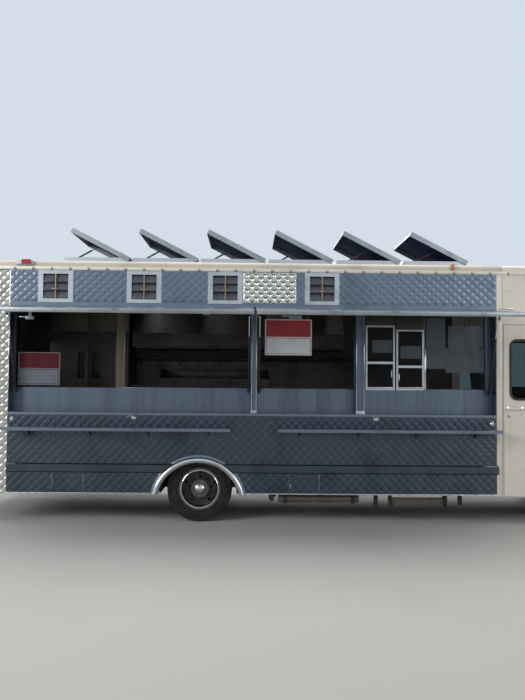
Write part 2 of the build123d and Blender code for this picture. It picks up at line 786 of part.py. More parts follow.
# Fixed glass: service windows, windshield halves and cab quarter windows
slope_x = (windshield_foot_x - windshield_head_x) / (windshield_head_z - windshield_foot_z)
shield_set_back = 25
with BuildPart() as fixed_glass:
    pane = (-recess_y + 9, -recess_y + 9 + glass)
    for x0, x1, z0, z1, _, glazed in WINDOWS:
        if glazed:
            block((x0, x1), pane, (z0, z1))
    for side, _ in SIDES:
        inner, outer = sorted((side * shield_y[0], side * shield_y[1]))
        with BuildSketch(side_plane(centre_y + outer)):
            low, high = shield_z
            x_low = windshield_foot_x - shield_set_back - (low - windshield_foot_z) * slope_x
            x_high = windshield_foot_x - shield_set_back - (high - windshield_foot_z) * slope_x
            with BuildLine():
                Polyline(
                    (rear_axle_x + x_low, low),
                    (rear_axle_x + x_low + glass, low),
                    (rear_axle_x + x_high + glass, high),
                    (rear_axle_x + x_high, high),
                    close=True,
                )
            make_face()
        extrude(amount=outer - inner)
        side_block(side, quarter_x, (inner_half + 20, inner_half + 20 + glass), quarter_z)
fixed_glass.part.label = "fixed_glass"
export_step(fixed_glass.part, "parts/fixed_glass.step")

# Louvre vents: frame, sleeve through the wall, three tilted slats and crank bar
vent_frame_wide = 435
vent_frame_tall = 400
vent_proud = 6
vent_sleeve = 4
slat_pitch = 102
slat_height = 104
slat_tilt = 15
crank_half = 6
with BuildPart() as vents:
    half = body_width / 2
    for x in VENT_CENTRES:
        tall = (vent_z - vent_frame_tall / 2, vent_z + vent_frame_tall / 2)
        wide = (x - vent_frame_wide / 2, x + vent_frame_wide / 2)
        hole = vent_opening / 2
        block(wide, (-half - vent_proud, -half), tall)
        block((x - hole, x + hole), (-half, -half + wall), (vent_z - hole, vent_z + hole))
        clear = hole - vent_sleeve
        depth = (-half - vent_proud - 1, -half + wall + 1)
        block((x - clear, x + clear), depth, (vent_z - clear, vent_z + clear), Mode.SUBTRACT)
        for step in (-1, 0, 1):
            with Locations(at(x, -half + 16, vent_z + 4 + step * slat_pitch)):
                Box(2 * clear, 4, slat_height, rotation=(-slat_tilt, 0, 0))
        crank = (x - crank_half, x + crank_half)
        block(crank, (-half - 14, -half + 2), (vent_z - clear, vent_z + clear))
vents.part.label = "vents"
export_step(vents.part, "parts/vents.step")

# Rub rails along both sides and the half-round trims of the rear wheel arches
rail_low = 615
rail_high = 725
rail_proud = 30
rail_bevel = 12
rail_lap = 20
with BuildPart() as body_trim:
    for side, _ in SIDES:
        face = body_width / 2
        top = face + rail_proud
        outline = [
            (face, rail_low), (top - rail_bevel, rail_low), (top, rail_low + rail_bevel),
            (top, rail_high - rail_bevel), (top - rail_bevel, rail_high), (face, rail_high),
        ]
        with BuildSketch(Plane.YZ.offset(rear_axle_x - opening_rear)):
            with BuildLine():
                Polyline(*[(centre_y + side * y, z) for y, z in outline], close=True)
            make_face()
        extrude(amount=opening_front + opening_rear + rail_lap)
    with BuildSketch(side_plane(street_y + rail_proud + 1)):
        with Locations((rear_axle_x + arch_offset, arch_z)):
            Circle(arch_outer + 3)
    extrude(amount=body_width + 2 * rail_proud + 2, mode=Mode.SUBTRACT)
    for side, _ in SIDES:
        wall_y = centre_y + side * body_width / 2
        with BuildSketch(Plane.YZ.offset(rear_axle_x + arch_offset)):
            with BuildLine():
                ThreePointArc(
                    (wall_y, arch_z + arch_inner),
                    (wall_y + side * arch_proud, arch_z + span(arch_inner, arch_outer)[0]),
                    (wall_y, arch_z + arch_outer),
                )
                Line((wall_y, arch_z + arch_outer), (wall_y, arch_z + arch_inner))
            make_face()
        revolve(axis=Axis((rear_axle_x + arch_offset, 0, arch_z), (0, 1, 0)))
    with BuildSketch(Plane.XY.offset(skirt_z)):
        with Locations((rear_axle_x, centre_y)):
            Rectangle(2000, 4000)
    extrude(amount=-1000, mode=Mode.SUBTRACT)
body_trim.part.label = "body_trim"
export_step(body_trim.part, "parts/body_trim.step")

# Bumpers: channel across the nose and a step across the tail, with a tow-ball hole
bumper_z = (430, 630)
bumper_corner = 40
rear_step_depth = 150
rear_step_z = (440, 530)
rear_step_inset = 100
tow_hole = 13
plate_hole = 3.5
plate_hole_z = 530
plate_hole_pitch = 178
with BuildPart() as bumpers:
    with BuildSketch(Plane.XY.offset(bumper_z[0])):
        with Locations((rear_axle_x + cab_face + bumper_depth / 2, centre_y)):
            RectangleRounded(bumper_depth, body_width, bumper_corner)
    extrude(amount=bumper_z[1] - bumper_z[0])
    step_x = body_rear - rear_step_depth / 2
    with BuildSketch(Plane.XY.offset(rear_step_z[0])):
        with Locations((rear_axle_x + step_x, centre_y)):
            Rectangle(rear_step_depth, body_width - 2 * rear_step_inset)
    extrude(amount=rear_step_z[1] - rear_step_z[0])
    for y in BUMPER_ARMS:
        block((rail_front, cab_face), (y - arm_half, y + arm_half), bumper_arm_z)
        block((body_rear, rail_rear), (y - arm_half, y + arm_half), rear_arm_z)
    with Locations(at(step_x, 0, rear_step_z[1])):
        Hole(tow_hole, rear_step_z[1] - rear_step_z[0])
    for y in (-plate_hole_pitch / 2, plate_hole_pitch / 2):
        with Locations(Location(at(cab_face + bumper_depth, y, plate_hole_z), (0, 90, 0))):
            Hole(plate_hole, bumper_depth)
bumpers.part.label = "bumpers"
export_step(bumpers.part, "parts/bumpers.step")

# Lamps: round head and turn lamps, tail lamps and the marker on the roof edge
LAMPS_FRONT = (
    # off the middle, height, radius, reach
    (body_width / 2 - 540, 1000, 95, 40),
    (body_width / 2 - 320, 1000, 45, 30),
)
LAMPS_REAR = (
    (body_width / 2 - 120, 900, 55, 30),
    (body_width / 2 - 120, 1040, 45, 30),
)
MARKERS = (
    # middle along X, length
    (-2185, 112),
    (3160, 40),
)
marker_z = (3196, 3254)
marker_reach = 42
with BuildPart() as lamps:
    for y, z, radius, reach in LAMPS_FRONT:
        for side, _ in SIDES:
            with BuildSketch(Plane(origin=at(cab_face, side * y, z), z_dir=(1, 0, 0))):
                Circle(radius)
            extrude(amount=reach, taper=12)
    for y, z, radius, reach in LAMPS_REAR:
        for side, _ in SIDES:
            with BuildSketch(Plane(origin=at(body_rear, side * y, z), z_dir=(-1, 0, 0))):
                Circle(radius)
            extrude(amount=reach, taper=12)
    for x, long in MARKERS:
        for side, _ in SIDES:
            outer = body_width / 2 + marker_reach
            side_block(side, (x - long / 2, x + long / 2), (inner_half, outer), marker_z)
    with BuildSketch(Plane.YZ.offset(body_rear_x)):
        with BuildLine():
            roof_outline(body_width / 2 + roof_proud, wall_top_z, roof_edge_z, roof_drop)
        make_face()
    extrude(amount=cab_rear_x - body_rear_x, mode=Mode.SUBTRACT)
lamps.part.label = "lamps"
export_step(lamps.part, "parts/lamps.step")

# Grille: frame in the nose opening with level bars
bar_pitch = 48
bar_half = 9
grille_face = 25
with BuildPart() as grille:
    reach = (cab_face - 40, cab_face + 12)
    block(reach, (-grille_half, grille_half), (grille_low, grille_high))
    inside = grille_half - grille_face
    cut = (reach[0] - 1, reach[1] + 1)
    clear_low = grille_low + grille_face
    clear_high = grille_high - grille_face
    block(cut, (-inside, inside), (clear_low, clear_high), Mode.SUBTRACT)
    bars = int((clear_high - clear_low) / bar_pitch)
    for count in range(1, bars + 1):
        z = clear_low + count * (clear_high - clear_low) / (bars + 1)
        bar = (z - bar_half, z + bar_half)
        block((reach[0] + 10, reach[1] - 8), (-inside, inside), bar)
grille.part.label = "grille"
export_step(grille.part, "parts/grille.step")

# Mirrors: arm frame from the windshield pillar with one tall head on each side
mirror_x = cab_face - 450
mirror_low = 1680
mirror_high = 2224
mirror_bar = 24
mirror_head = 60
mirror_head_width = 190
with BuildPart() as mirrors:
    arm_x = (mirror_x, mirror_x + mirror_bar)
    for side, _ in SIDES:
        half = body_width / 2
        reach = half + mirror_reach
        for z in (mirror_low, mirror_high - mirror_bar):
            side_block(side, arm_x, (half, reach - 30), (z, z + mirror_bar))
        head_z = (mirror_low - 40, mirror_high + 46)
        side_block(side, (mirror_x - mirror_head, mirror_x), (reach - mirror_head_width, reach), head_z)
        side_block(side, arm_x, (reach - 60, reach - 30), (mirror_low, mirror_high))
        foot_x = (arm_x[0] - 20, arm_x[1] + 20)
        side_block(side, foot_x, (half, half + 6), (mirror_low - 20, mirror_high + 20))
mirrors.part.label = "mirrors"
export_step(mirrors.part, "parts/mirrors.step")

# Kitchen: cook line, griddle and hood on the street side, refrigerator, window counter
cook_x = (-1120, 2600)
cook_y = inner_half - 700
cook_top = 1690
griddle_x = (-700, 900)
griddle_y = (cook_y + 90, inner_half - 130)
griddle_rise = 100
splash = 40
splash_top = 2050
hood_x = (-1100, 2000)
hood_low = 2250
hood_lip = 200
hood_top = 2900
fridge_x = (-2300, -1150)
fridge_top = 2450
counter_x = (-2300, opening_front - 215)
counter_y = -560
counter_top = 1640
with BuildPart() as kitchen_line:
    block(cook_x, (cook_y, inner_half), (floor_top, cook_top))
    block(griddle_x, griddle_y, (cook_top, cook_top + griddle_rise))
    block(cook_x, (inner_half - splash, inner_half), (cook_top, splash_top))
    with BuildSketch(Plane(origin=at(hood_x[0], 0, 0), z_dir=(1, 0, 0), x_dir=(0, 1, 0))):
        with BuildLine():
            Polyline(
                (inner_half, hood_low),
                (inner_half, hood_top),
                (cook_y + 270, hood_top),
                (cook_y - 10, hood_low + hood_lip),
                (cook_y - 10, hood_low),
                close=True,
            )
        make_face()
    extrude(amount=hood_x[1] - hood_x[0])
    block(fridge_x, (cook_y, inner_half), (floor_top, fridge_top))
    block(counter_x, (-recess_y + recess_wall, counter_y), (floor_top, counter_top))
    for side, _ in SIDES:
        side_block(side, rear_house, (rear_house_y, inner_half), (0, rear_house_top), Mode.SUBTRACT)
kitchen_line.part.label = "kitchen_line"
export_step(kitchen_line.part, "parts/kitchen_line.step")

# Cab fittings: engine cover, dash, steering column and wheel, driver's seat
cover_x = (wheelbase - 510, wheelbase + 510)
cover_half = 365
cover_top = 1230
cover_wall = 30
dash_x = (cab_face - 430, cab_face - 60)
dash_z = (1150, 1400)
wheel_centre = (cab_face - 890, 520, 1500)
wheel_lean = 30
wheel_ring = 230
ring_width = 30
spoke = 60
column_radius = 24
column_length = 640
seat_rear = cab_rear + 170
seat_outer = 780
seat_width = 480
SEAT_OUTLINE = (
    # ahead of the seat's back, height
    (80, floor_top), (540, floor_top), (540, 1180), (600, 1200), (580, 1320),
    (200, 1290), (100, 1930), (0, 1910), (80, 1200),
)
with BuildPart() as cab_interior:
    block(cover_x, (-cover_half, cover_half), (floor_top, cover_top))
    under_x = (cover_x[0] + cover_wall, cover_x[1] - cover_wall)
    under_half = cover_half - cover_wall
    block(under_x, (-under_half, under_half), (floor_top - 1, cover_top - cover_wall), Mode.SUBTRACT)
    block(dash_x, (-inner_half, inner_half), dash_z)
    tilt = radians(wheel_lean)
    with BuildSketch(Plane(origin=at(*wheel_centre), z_dir=(-sin(tilt), 0, cos(tilt)))):
        Circle(wheel_ring)
        Circle(wheel_ring - ring_width, mode=Mode.SUBTRACT)
        Rectangle(spoke, 2 * wheel_ring - ring_width)
        Rectangle(2 * wheel_ring - ring_width, spoke)
    extrude(amount=26)
    with BuildSketch(Plane(origin=at(*wheel_centre), z_dir=(cos(tilt), 0, -sin(tilt)))):
        Circle(column_radius)
    extrude(amount=column_length)
    with BuildSketch(side_plane(centre_y + seat_outer)):
        with BuildLine():
            Polyline(*[(rear_axle_x + seat_rear + x, z) for x, z in SEAT_OUTLINE], close=True)
        make_face()
    extrude(amount=seat_width)
cab_interior.part.label = "cab_interior"
export_step(cab_interior.part, "parts/cab_interior.step")

# Customer shelves on brackets under the service opening
SHELVES = ((-opening_rear + 2, 383), (959, opening_front - 10))
shelf_top = 1180
shelf_thickness = 38
shelf_depth = 280
BRACKET_SHARES = (0.1, 0.37, 0.63, 0.9)
bracket_sheet = 6
bracket_drop = 80
bracket_reach = 180
with BuildPart() as shelves:
    half = body_width / 2
    for x0, x1 in SHELVES:
        under = shelf_top - shelf_thickness
        block((x0, x1), (-half - shelf_depth, -half), (under, shelf_top))
        for share in BRACKET_SHARES:
            x = x0 + share * (x1 - x0)
            with BuildSketch(Plane(origin=at(x, 0, 0), z_dir=(1, 0, 0), x_dir=(0, 1, 0))):
                with BuildLine():
                    Polyline(
                        (-half, under),
                        (-half, under - bracket_drop),
                        (-half - bracket_reach, under),
                        close=True,
                    )
                make_face()
            extrude(amount=bracket_sheet)
shelves.part.label = "shelves"
export_step(shelves.part, "parts/shelves.step")

# Awning doors, open: panel below the long hinge's axis, latch at its free edge
outwards = (0, -sin(sloped), cos(sloped))
for which, x0, x1 in AWNINGS:
    middle, width = span(x0, x1)
    awning_plane = Plane(
        origin=at(middle, -body_width / 2 - hinge_stand_off, hinge_z),
        x_dir=(1, 0, 0),
        z_dir=outwards,
    )
    with BuildPart(awning_plane) as awning:
        far = hinge_gap + awning_length
        with Locations((0, -hinge_gap - awning_length / 2, -hinge_stand_off - awning_thickness / 2)):
            Box(width, awning_length, awning_thickness)
        Cylinder(hinge_barrel, width, rotation=(0, 90, 0))
        with Locations((0, -22, -hinge_stand_off + leaf / 2)):
            Box(width, 44, leaf)
        # Paddle latch over the free edge
        with Locations((0, -far + 10, -hinge_stand_off + 5)):
            Box(70, 80, 10)
        with Locations((0, -far - 20, -hinge_stand_off + 5)):
            Cylinder(30, 10)
        # Lugs at the strut rods' eyes
        under = -hinge_stand_off - awning_thickness
        for way in (-1, 1):
            lug_x = way * (width / 2 - strut_inset + strut_lug / 2)
            deep = strut_pin_below + 14 + under
            with Locations((lug_x, -strut_pin_along, under - deep / 2)):
                Box(strut_lug, 44, deep)
    name = f"awning_{which}"
    awning.part.label = name
    export_step(awning.part, f"parts/{name}.step")

# Awning struts: base pin, open rod eye, and the line between them
base = Vector(0, -body_width / 2 + strut_base_y, strut_base_z)
along = Vector(0, -cos(sloped), -sin(sloped))
below = Vector(0, sin(sloped), -cos(sloped))
hinge = Vector(0, -body_width / 2 - hinge_stand_off, hinge_z)
rod_eye = hinge + along * strut_pin_along + below * strut_pin_below
closed_eye = hinge + Vector(0, 0, -1) * strut_pin_along + Vector(0, 1, 0) * strut_pin_below
strut_open = (rod_eye - base).length
strut_closed = (closed_eye - base).length
strut_way = (rod_eye - base).normalized()
strut_run_out = 60
barrel_length = strut_closed - strut_run_out
for which, x0, x1 in AWNINGS:
    ENDS = ((x0 + strut_inset, 1), (x1 - strut_inset, -1))
    with BuildPart() as barrels:
        for x, way in ENDS:
            centre_x = x + way * (strut_side_gap + strut_barrel)
            strut_plane = Plane(
                origin=at(centre_x, base.Y, base.Z),
                x_dir=(1, 0, 0),
                z_dir=tuple(strut_way),
            )
            with BuildSketch(strut_plane.offset(14)):
                Circle(strut_barrel)
                Circle(strut_rod + 0.5, mode=Mode.SUBTRACT)
            extrude(amount=barrel_length - 14)
            with BuildSketch(strut_plane.offset(8)):
                Circle(strut_barrel)
            extrude(amount=7)
            with BuildSketch(Plane(origin=at(centre_x, base.Y, base.Z), z_dir=(1, 0, 0))):
                Circle(strut_eye)
            extrude(amount=strut_barrel - 2, both=True)
            with BuildSketch(Plane(origin=at(centre_x, base.Y, base.Z), z_dir=(1, 0, 0))):
                Circle(strut_pin + 0.5)
            extrude(amount=strut_barrel + 2, both=True, mode=Mode.SUBTRACT)
    name = f"awning_strut_barrels_{which}"
    barrels.part.label = name
    export_step(barrels.part, f"parts/{name}.step")
    with BuildPart() as rods:
        for x, way in ENDS:
            centre_x = x + way * (strut_side_gap + strut_barrel)
            strut_plane = Plane(
                origin=at(centre_x, base.Y, base.Z),
                x_dir=(1, 0, 0),
                z_dir=tuple(strut_way),
            )
            start = strut_run_out / 2 + strut_open - strut_closed
            with BuildSketch(strut_plane.offset(start)):
                Circle(strut_rod)
            extrude(amount=strut_open - start)
            with BuildSketch(Plane(origin=at(centre_x, rod_eye.Y, rod_eye.Z), z_dir=(1, 0, 0))):
                Circle(strut_eye)
            extrude(amount=strut_barrel - 2, both=True)
    name = f"awning_strut_rods_{which}"
    rods.part.label = name
    export_step(rods.part, f"parts/{name}.step")

# Cab doors: one leaf on each side, hinged along its front edge, window cut out
door_hinge_x = door_front - door_gap / 2
door_hinge_off = 8
door_barrel = hypot(door_gap / 2, door_hinge_off) - hinge_play
door_hinge_length = 110
DOOR_HINGES = (700, 1500, 2300)
hinge_leaf = 60
hinge_leaf_half = 50
door_window = (door_rear + 99, door_front - 99, 1566, 2297)
door_window_radius = 75
handle_x = (door_rear + 45, door_rear + 225)
handle_z = 1440
handle_reach = 48
handle_radius = 9
for side, which in ((-1, "right"), (1, "left")):
    face = centre_y + side * body_width / 2
    with BuildPart() as cab_door:
        with BuildSketch(side_plane(face)):
            middle, width = span(door_rear + door_gap, door_front - door_gap)
            height_mid, height = span(skirt_z + door_gap, door_top_z - door_gap)
            with Locations((rear_axle_x + middle, height_mid)):
                RectangleRounded(width, height, 12)
            x0, x1, z0, z1 = door_window
            with Locations((rear_axle_x + (x0 + x1) / 2, (z0 + z1) / 2)):
                RectangleRounded(x1 - x0, z1 - z0, door_window_radius, mode=Mode.SUBTRACT)
        extrude(amount=side * door_thickness)
        for z in DOOR_HINGES:
            with Locations(at(door_hinge_x, side * (body_width / 2 + door_hinge_off), z)):
                Cylinder(door_barrel, door_hinge_length)
            plate = (door_front - door_gap - hinge_leaf, door_hinge_x)
            tall = (z - hinge_leaf_half, z + hinge_leaf_half)
            side_block(side, plate, (body_width / 2, body_width / 2 + 4), tall)
        # Level bow handle near the rear edge
        foot_y = side * (body_width / 2 - 2)
        grip_y = side * (body_width / 2 + handle_reach)
        with BuildLine() as bow:
            FilletPolyline(
                at(handle_x[0], foot_y, handle_z),
                at(handle_x[0] + 15, grip_y, handle_z),
                at(handle_x[1] - 15, grip_y, handle_z),
                at(handle_x[1], foot_y, handle_z),
                radius=2 * handle_radius,
            )
        with BuildSketch(Plane(origin=bow.line @ 0, z_dir=bow.line % 0)):
            Circle(handle_radius)
        sweep(path=bow.line)
    name = f"cab_door_{which}"
    cab_door.part.label = name
    export_step(cab_door.part, f"parts/{name}.step")

# Rear door, hinged on the street side, with a window
rear_hinge_y = rear_door_half - door_gap / 2
REAR_DOOR_HINGES = (1100, 1750, 2450)
rear_window_half = 230
rear_window_z = (1900, 2450)
rear_handle_z = (1600, 1760)
rear_handle_bar = 16
rear_handle_reach = 50
with BuildPart() as rear_door:
    clear = rear_door_half - door_gap
    leaf_x = (body_rear, body_rear + door_thickness)
    block(leaf_x, (-clear, clear), (floor_top + door_gap, rear_door_top - door_gap))
    cut = (leaf_x[0] - 1, leaf_x[1] + 1)
    block(cut, (-rear_window_half, rear_window_half), rear_window_z, Mode.SUBTRACT)
    for z in REAR_DOOR_HINGES:
        with Locations(at(body_rear - door_hinge_off, rear_hinge_y, z)):
            Cylinder(door_barrel, door_hinge_length)
        tall = (z - hinge_leaf_half, z + hinge_leaf_half)
        block((body_rear - 4, body_rear), (clear - hinge_leaf, rear_hinge_y), tall)
    grip_y = (-clear + 40, -clear + 70)
    low, high = rear_handle_z
    grip_end = body_rear - rear_handle_reach
    block((grip_end, grip_end + rear_handle_bar), grip_y, rear_handle_z)
    for z in (low, high - rear_handle_bar):
        block((grip_end, body_rear), grip_y, (z, z + rear_handle_bar))
rear_door.part.label = "rear_door"
export_step(rear_door.part, "parts/rear_door.step")

# Access doors low in the service wall, hinged along their rear edges
access_thickness = 25
access_hinge = 50
access_latch_z = (465, 500)
access_barrel = hypot(access_gap / 2, door_hinge_off) - hinge_play
for which, low, high in ACCESS_DOORS:
    half = body_width / 2
    hinge_x = low + access_gap / 2
    with BuildPart() as access_door:
        wide = (low + access_gap, high - access_gap)
        tall = (access_low + access_gap, access_high - access_gap)
        block(wide, (-half, -half + access_thickness), tall)
        for z in (access_low + access_hinge, access_high - access_hinge):
            with Locations(at(hinge_x, -half - door_hinge_off, z)):
                Cylinder(access_barrel, access_hinge)
            block((hinge_x, low + access_hinge), (-half - 4, -half), (z - 22, z + 22))
        block((high - 50, high - 25), (-half - 12, -half), access_latch_z)
    name = f"access_door_{which}"
    access_door.part.label = name
    export_step(access_door.part, f"parts/{name}.step")


def rim_points(centre, dish):
    """Rim section with its disc set off by dish, as (off the middle, radius) pairs."""
    way = 1 if dish > 0 else -1
    face = centre + dish
    near = centre + way * rim_half
    far = centre - way * rim_half
    lip = rim_wall + 1
    inside = barrel_radius - rim_wall
    return [
        (far, flange_radius),
        (far, inside),
        (near - way * lip, inside),
        (near + way * 8, inside - 10),
        (face - way * disc, inside - 36),
        (face - way * disc, 60),
        (face, 60),
        (face, inside - 30),
        (near + way * 17, inside),
        (near + way * 2, flange_radius),
        (near - way * (lip - 2), flange_radius),
        (near - way * (lip - 2), barrel_radius),
        (far + way * lip, barrel_radius),
        (far + way * lip, flange_radius),
    ]


def tyre_outline(side, centre):
    """Tyre section's lines: beads on the rim, bulging sidewalls and a flat tread."""
    seat = rim_half - rim_wall - 2

    def spot(off, radius):
        return (centre_y + side * (centre + off), axle_z + radius)

    for way in (-1, 1):
        Line(spot(0, bead_radius), spot(way * seat, bead_radius))
        Line(spot(way * seat, bead_radius), spot(way * seat, flange_radius + 1))
        Line(spot(way * seat, flange_radius + 1), spot(way * 96, flange_radius + 1))
        ThreePointArc(
            spot(way * 96, flange_radius + 1),
            spot(way * tyre_half, 322),
            spot(way * 101, 386),
        )
        Line(spot(way * 101, 386), spot(way * 88, tyre_radius))
        Line(spot(way * 88, tyre_radius), spot(0, tyre_radius))


def hub_points(foot, spindle, bore, cap, radius):
    """Hub section: blind bore round its spindle, barrel, cap flange and dome."""
    return [
        (foot, bore),
        (spindle + 5, bore),
        (spindle + 5, 0),
        (cap + 40, 0),
        (cap + 36, radius * 0.3),
        (cap + 22, radius * 0.5),
        (cap, radius * 0.58),
        (cap, radius),
        (cap - 20, radius),
        (cap - 26, radius * 0.75),
        (foot, radius * 0.75),
    ]


hand_holes = 5
hand_hole_radius = 22
hand_hole_circle = 203 - hand_hole_radius + 8


def cut_hand_holes(axle_x, side, disc_y):
    """Round openings through the wheel's disc, near its rim."""
    for count in range(hand_holes):
        turn = radians(360 * (count + 0.25) / hand_holes)
        x = axle_x + hand_hole_circle * cos(turn)
        z = axle_z + hand_hole_circle * sin(turn)
        with Locations((x, centre_y + side * disc_y, z)):
            Cylinder(hand_hole_radius, 6 * disc, rotation=(90, 0, 0), mode=Mode.SUBTRACT)


# Rear wheels: two rims bolted disc to disc on one hub with its drum, and two tyres
for side, which in SIDES:
    axis = Axis((rear_axle_x, 0, axle_z), (0, 1, 0))
    section = Plane.YZ.offset(rear_axle_x)
    outer = dual_mate + dual_half_spacing
    inner = dual_mate - dual_half_spacing
    drum = (backing_y + 12, dual_mate - disc)
    hub_bore = rear_spindle + spindle_clearance
    SECTIONS = (
        rim_points(outer, -dual_half_spacing),
        rim_points(inner, dual_half_spacing),
        [(drum[0], 75), (drum[1], 75), (drum[1], diff_radius), (drum[0], diff_radius)],
        [(drum[1] - 2, hub_bore), (dual_mate + disc, hub_bore), (dual_mate + disc, 80), (drum[1] - 2, 80)],
        hub_points(dual_mate, spindle_end, hub_bore, spindle_end + 15, 111),
    )
    with BuildPart() as rear_wheel:
        for points in SECTIONS:
            with BuildSketch(section):
                with BuildLine():
                    Polyline(*[(centre_y + side * t, axle_z + r) for t, r in points], close=True)
                make_face()
            revolve(axis=axis)
        cut_hand_holes(rear_axle_x, side, dual_mate)
    name = f"rear_rims_{which}"
    rear_wheel.part.label = name
    export_step(rear_wheel.part, f"parts/{name}.step")
    with BuildPart() as rear_tyres:
        for middle in (inner, outer):
            with BuildSketch(section):
                with BuildLine():
                    tyre_outline(side, middle)
                make_face()
            revolve(axis=axis)
    name = f"rear_tyres_{which}"
    rear_tyres.part.label = name
    export_step(rear_tyres.part, f"parts/{name}.step")

# Steering knuckles: yoke round the kingpin eye and the wheel's spindle
yoke_half = 45
yoke_arm = 28
yoke_rise = 72
yoke_plate = (front_track_half - 15, front_track_half + 5)
front_spindle_end = front_track_half + 140
for side, which in SIDES:
    with BuildPart() as knuckle:
        front = front_axle_x - rear_axle_x
        long = (front - yoke_half, front + yoke_half)
        top = yoke_rise + yoke_arm
        side_block(side, long, yoke_plate, (axle_z - top, axle_z + top))
        for low in (-top, yoke_rise):
            arm = (axle_z + low, axle_z + low + yoke_arm)
            side_block(side, long, (kingpin_half - 40, yoke_plate[0]), arm)
        with Locations((front_axle_x, centre_y + side * kingpin_half, axle_z)):
            Cylinder(kingpin_radius + spindle_clearance, 3 * top, mode=Mode.SUBTRACT)
        with BuildSketch(side_plane(centre_y + side * yoke_plate[1])):
            with Locations((front_axle_x, axle_z)):
                Circle(front_spindle)
        extrude(amount=-side * (front_spindle_end - yoke_plate[1]))
    name = f"knuckle_{which}"
    knuckle.part.label = name
    export_step(knuckle.part, f"parts/{name}.step")

# Front wheels: one rim with its hub and drum, and one tyre on each side
for side, which in SIDES:
    axis = Axis((front_axle_x, 0, axle_z), (0, 1, 0))
    section = Plane.YZ.offset(front_axle_x)
    face = front_track_half + front_dish
    drum_back = front_track_half + 25
    hub_bore = front_spindle + spindle_clearance
    SECTIONS = (
        rim_points(front_track_half, front_dish),
        [(drum_back, hub_bore), (face - disc, hub_bore), (face - disc, 180), (drum_back, 180)],
        hub_points(face - disc - 10, front_spindle_end, hub_bore, front_spindle_end + 20, 90),
    )
    with BuildPart() as front_wheel:
        for points in SECTIONS:
            with BuildSketch(section):
                with BuildLine():
                    Polyline(*[(centre_y + side * t, axle_z + r) for t, r in points], close=True)
                make_face()
            revolve(axis=axis)
        cut_hand_holes(front_axle_x, side, front_track_half + front_dish)
    name = f"front_rim_{which}"
    front_wheel.part.label = name
    export_step(front_wheel.part, f"parts/{name}.step")
    with BuildPart() as front_tyre:
        with BuildSketch(section):
            with BuildLine():
                tyre_outline(side, front_track_half)
            make_face()
        revolve(axis=axis)
    name = f"front_tyre_{which}"
    front_tyre.part.label = name
    export_step(front_tyre.part, f"parts/{name}.step")
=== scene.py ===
# %% [markdown]
# # A catering truck, dressed in Blender
#
# The solids of the truck come from its CAD source. This lesson gives them the finishes of the
# real thing and adds what a solid leaves out: quilted sheet, rivets, louvres, tread, seals and
# the kitchen behind the windows. The frame is in metres. X runs to the front of the truck, Y to
# its street side and Z up, so the serving side looks to -Y.

# %% Load the frame
import math

import bpy
from mathutils import Matrix, Vector


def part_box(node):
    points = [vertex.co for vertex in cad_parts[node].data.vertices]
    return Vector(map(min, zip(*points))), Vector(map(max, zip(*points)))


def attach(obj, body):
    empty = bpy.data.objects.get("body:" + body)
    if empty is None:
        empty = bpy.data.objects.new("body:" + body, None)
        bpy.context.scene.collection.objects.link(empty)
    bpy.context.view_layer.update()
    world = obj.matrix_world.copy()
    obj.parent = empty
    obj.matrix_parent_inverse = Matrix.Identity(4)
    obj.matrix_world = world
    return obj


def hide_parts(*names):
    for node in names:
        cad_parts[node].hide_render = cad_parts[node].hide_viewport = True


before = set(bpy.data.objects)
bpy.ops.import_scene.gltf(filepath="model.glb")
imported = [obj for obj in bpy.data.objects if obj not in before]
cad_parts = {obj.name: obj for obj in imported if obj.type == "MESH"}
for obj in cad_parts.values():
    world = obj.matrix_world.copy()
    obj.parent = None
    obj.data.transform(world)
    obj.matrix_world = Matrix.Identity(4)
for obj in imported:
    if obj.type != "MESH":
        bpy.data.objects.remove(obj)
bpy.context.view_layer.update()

# %% [markdown]
# ## Places to measure from
#
# The truck was drawn in millimetres from its rear axle, and so is what is added here. The wheels'
# own boxes tell where that axle is. On the side walls -1 is the serving side and 1 the street
# side.

# %% Datums from the solids
MM = 0.001
SIDES = ((-1, "service"), (1, "street"))
HINGE_LEAF = 3  # the awnings' hinge leaf, which lies on the serving side


def centre_of(node):
    """Middle of a CAD node's box."""
    low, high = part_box(node)
    return (low + high) / 2


rear_axle = centre_of("rear_tyres_service").x
front_axle = centre_of("front_tyre_service").x
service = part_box("service_wall")[0].y + HINGE_LEAF * MM
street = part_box("street_wall")[1].y
middle = (service + street) / 2
half_width = (street - service) / 2
rear_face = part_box("rear_wall")[0].x
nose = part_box("cab_shell")[1].x
print("rear axle", round(rear_axle, 4), "service side", round(service, 4), "nose", round(nose, 3))


def along(x):
    """X of a place given in millimetres ahead of the rear axle."""
    return rear_axle + x * MM


def spot(x, y, z, datum=rear_axle):
    """Point by millimetres ahead of a datum, off the middle to the street side, above ground."""
    return Vector((datum + x * MM, middle + y * MM, z * MM))


def side_point(x, out, z, side=-1):
    """Point by millimetres ahead of the rear axle, out from a side wall, above ground."""
    return Vector((along(x), middle + side * (half_width + out * MM), z * MM))


# %% [markdown]
# ## Camera
#
# The photograph was taken with a phone from about nine metres, a little over head height, square
# on the serving side. A frame of 525 by 700 pixels and a focal length of 749 pixels make a lens
# of 38.5 mm on Blender's 36 mm sensor, which it lays along the longer side.

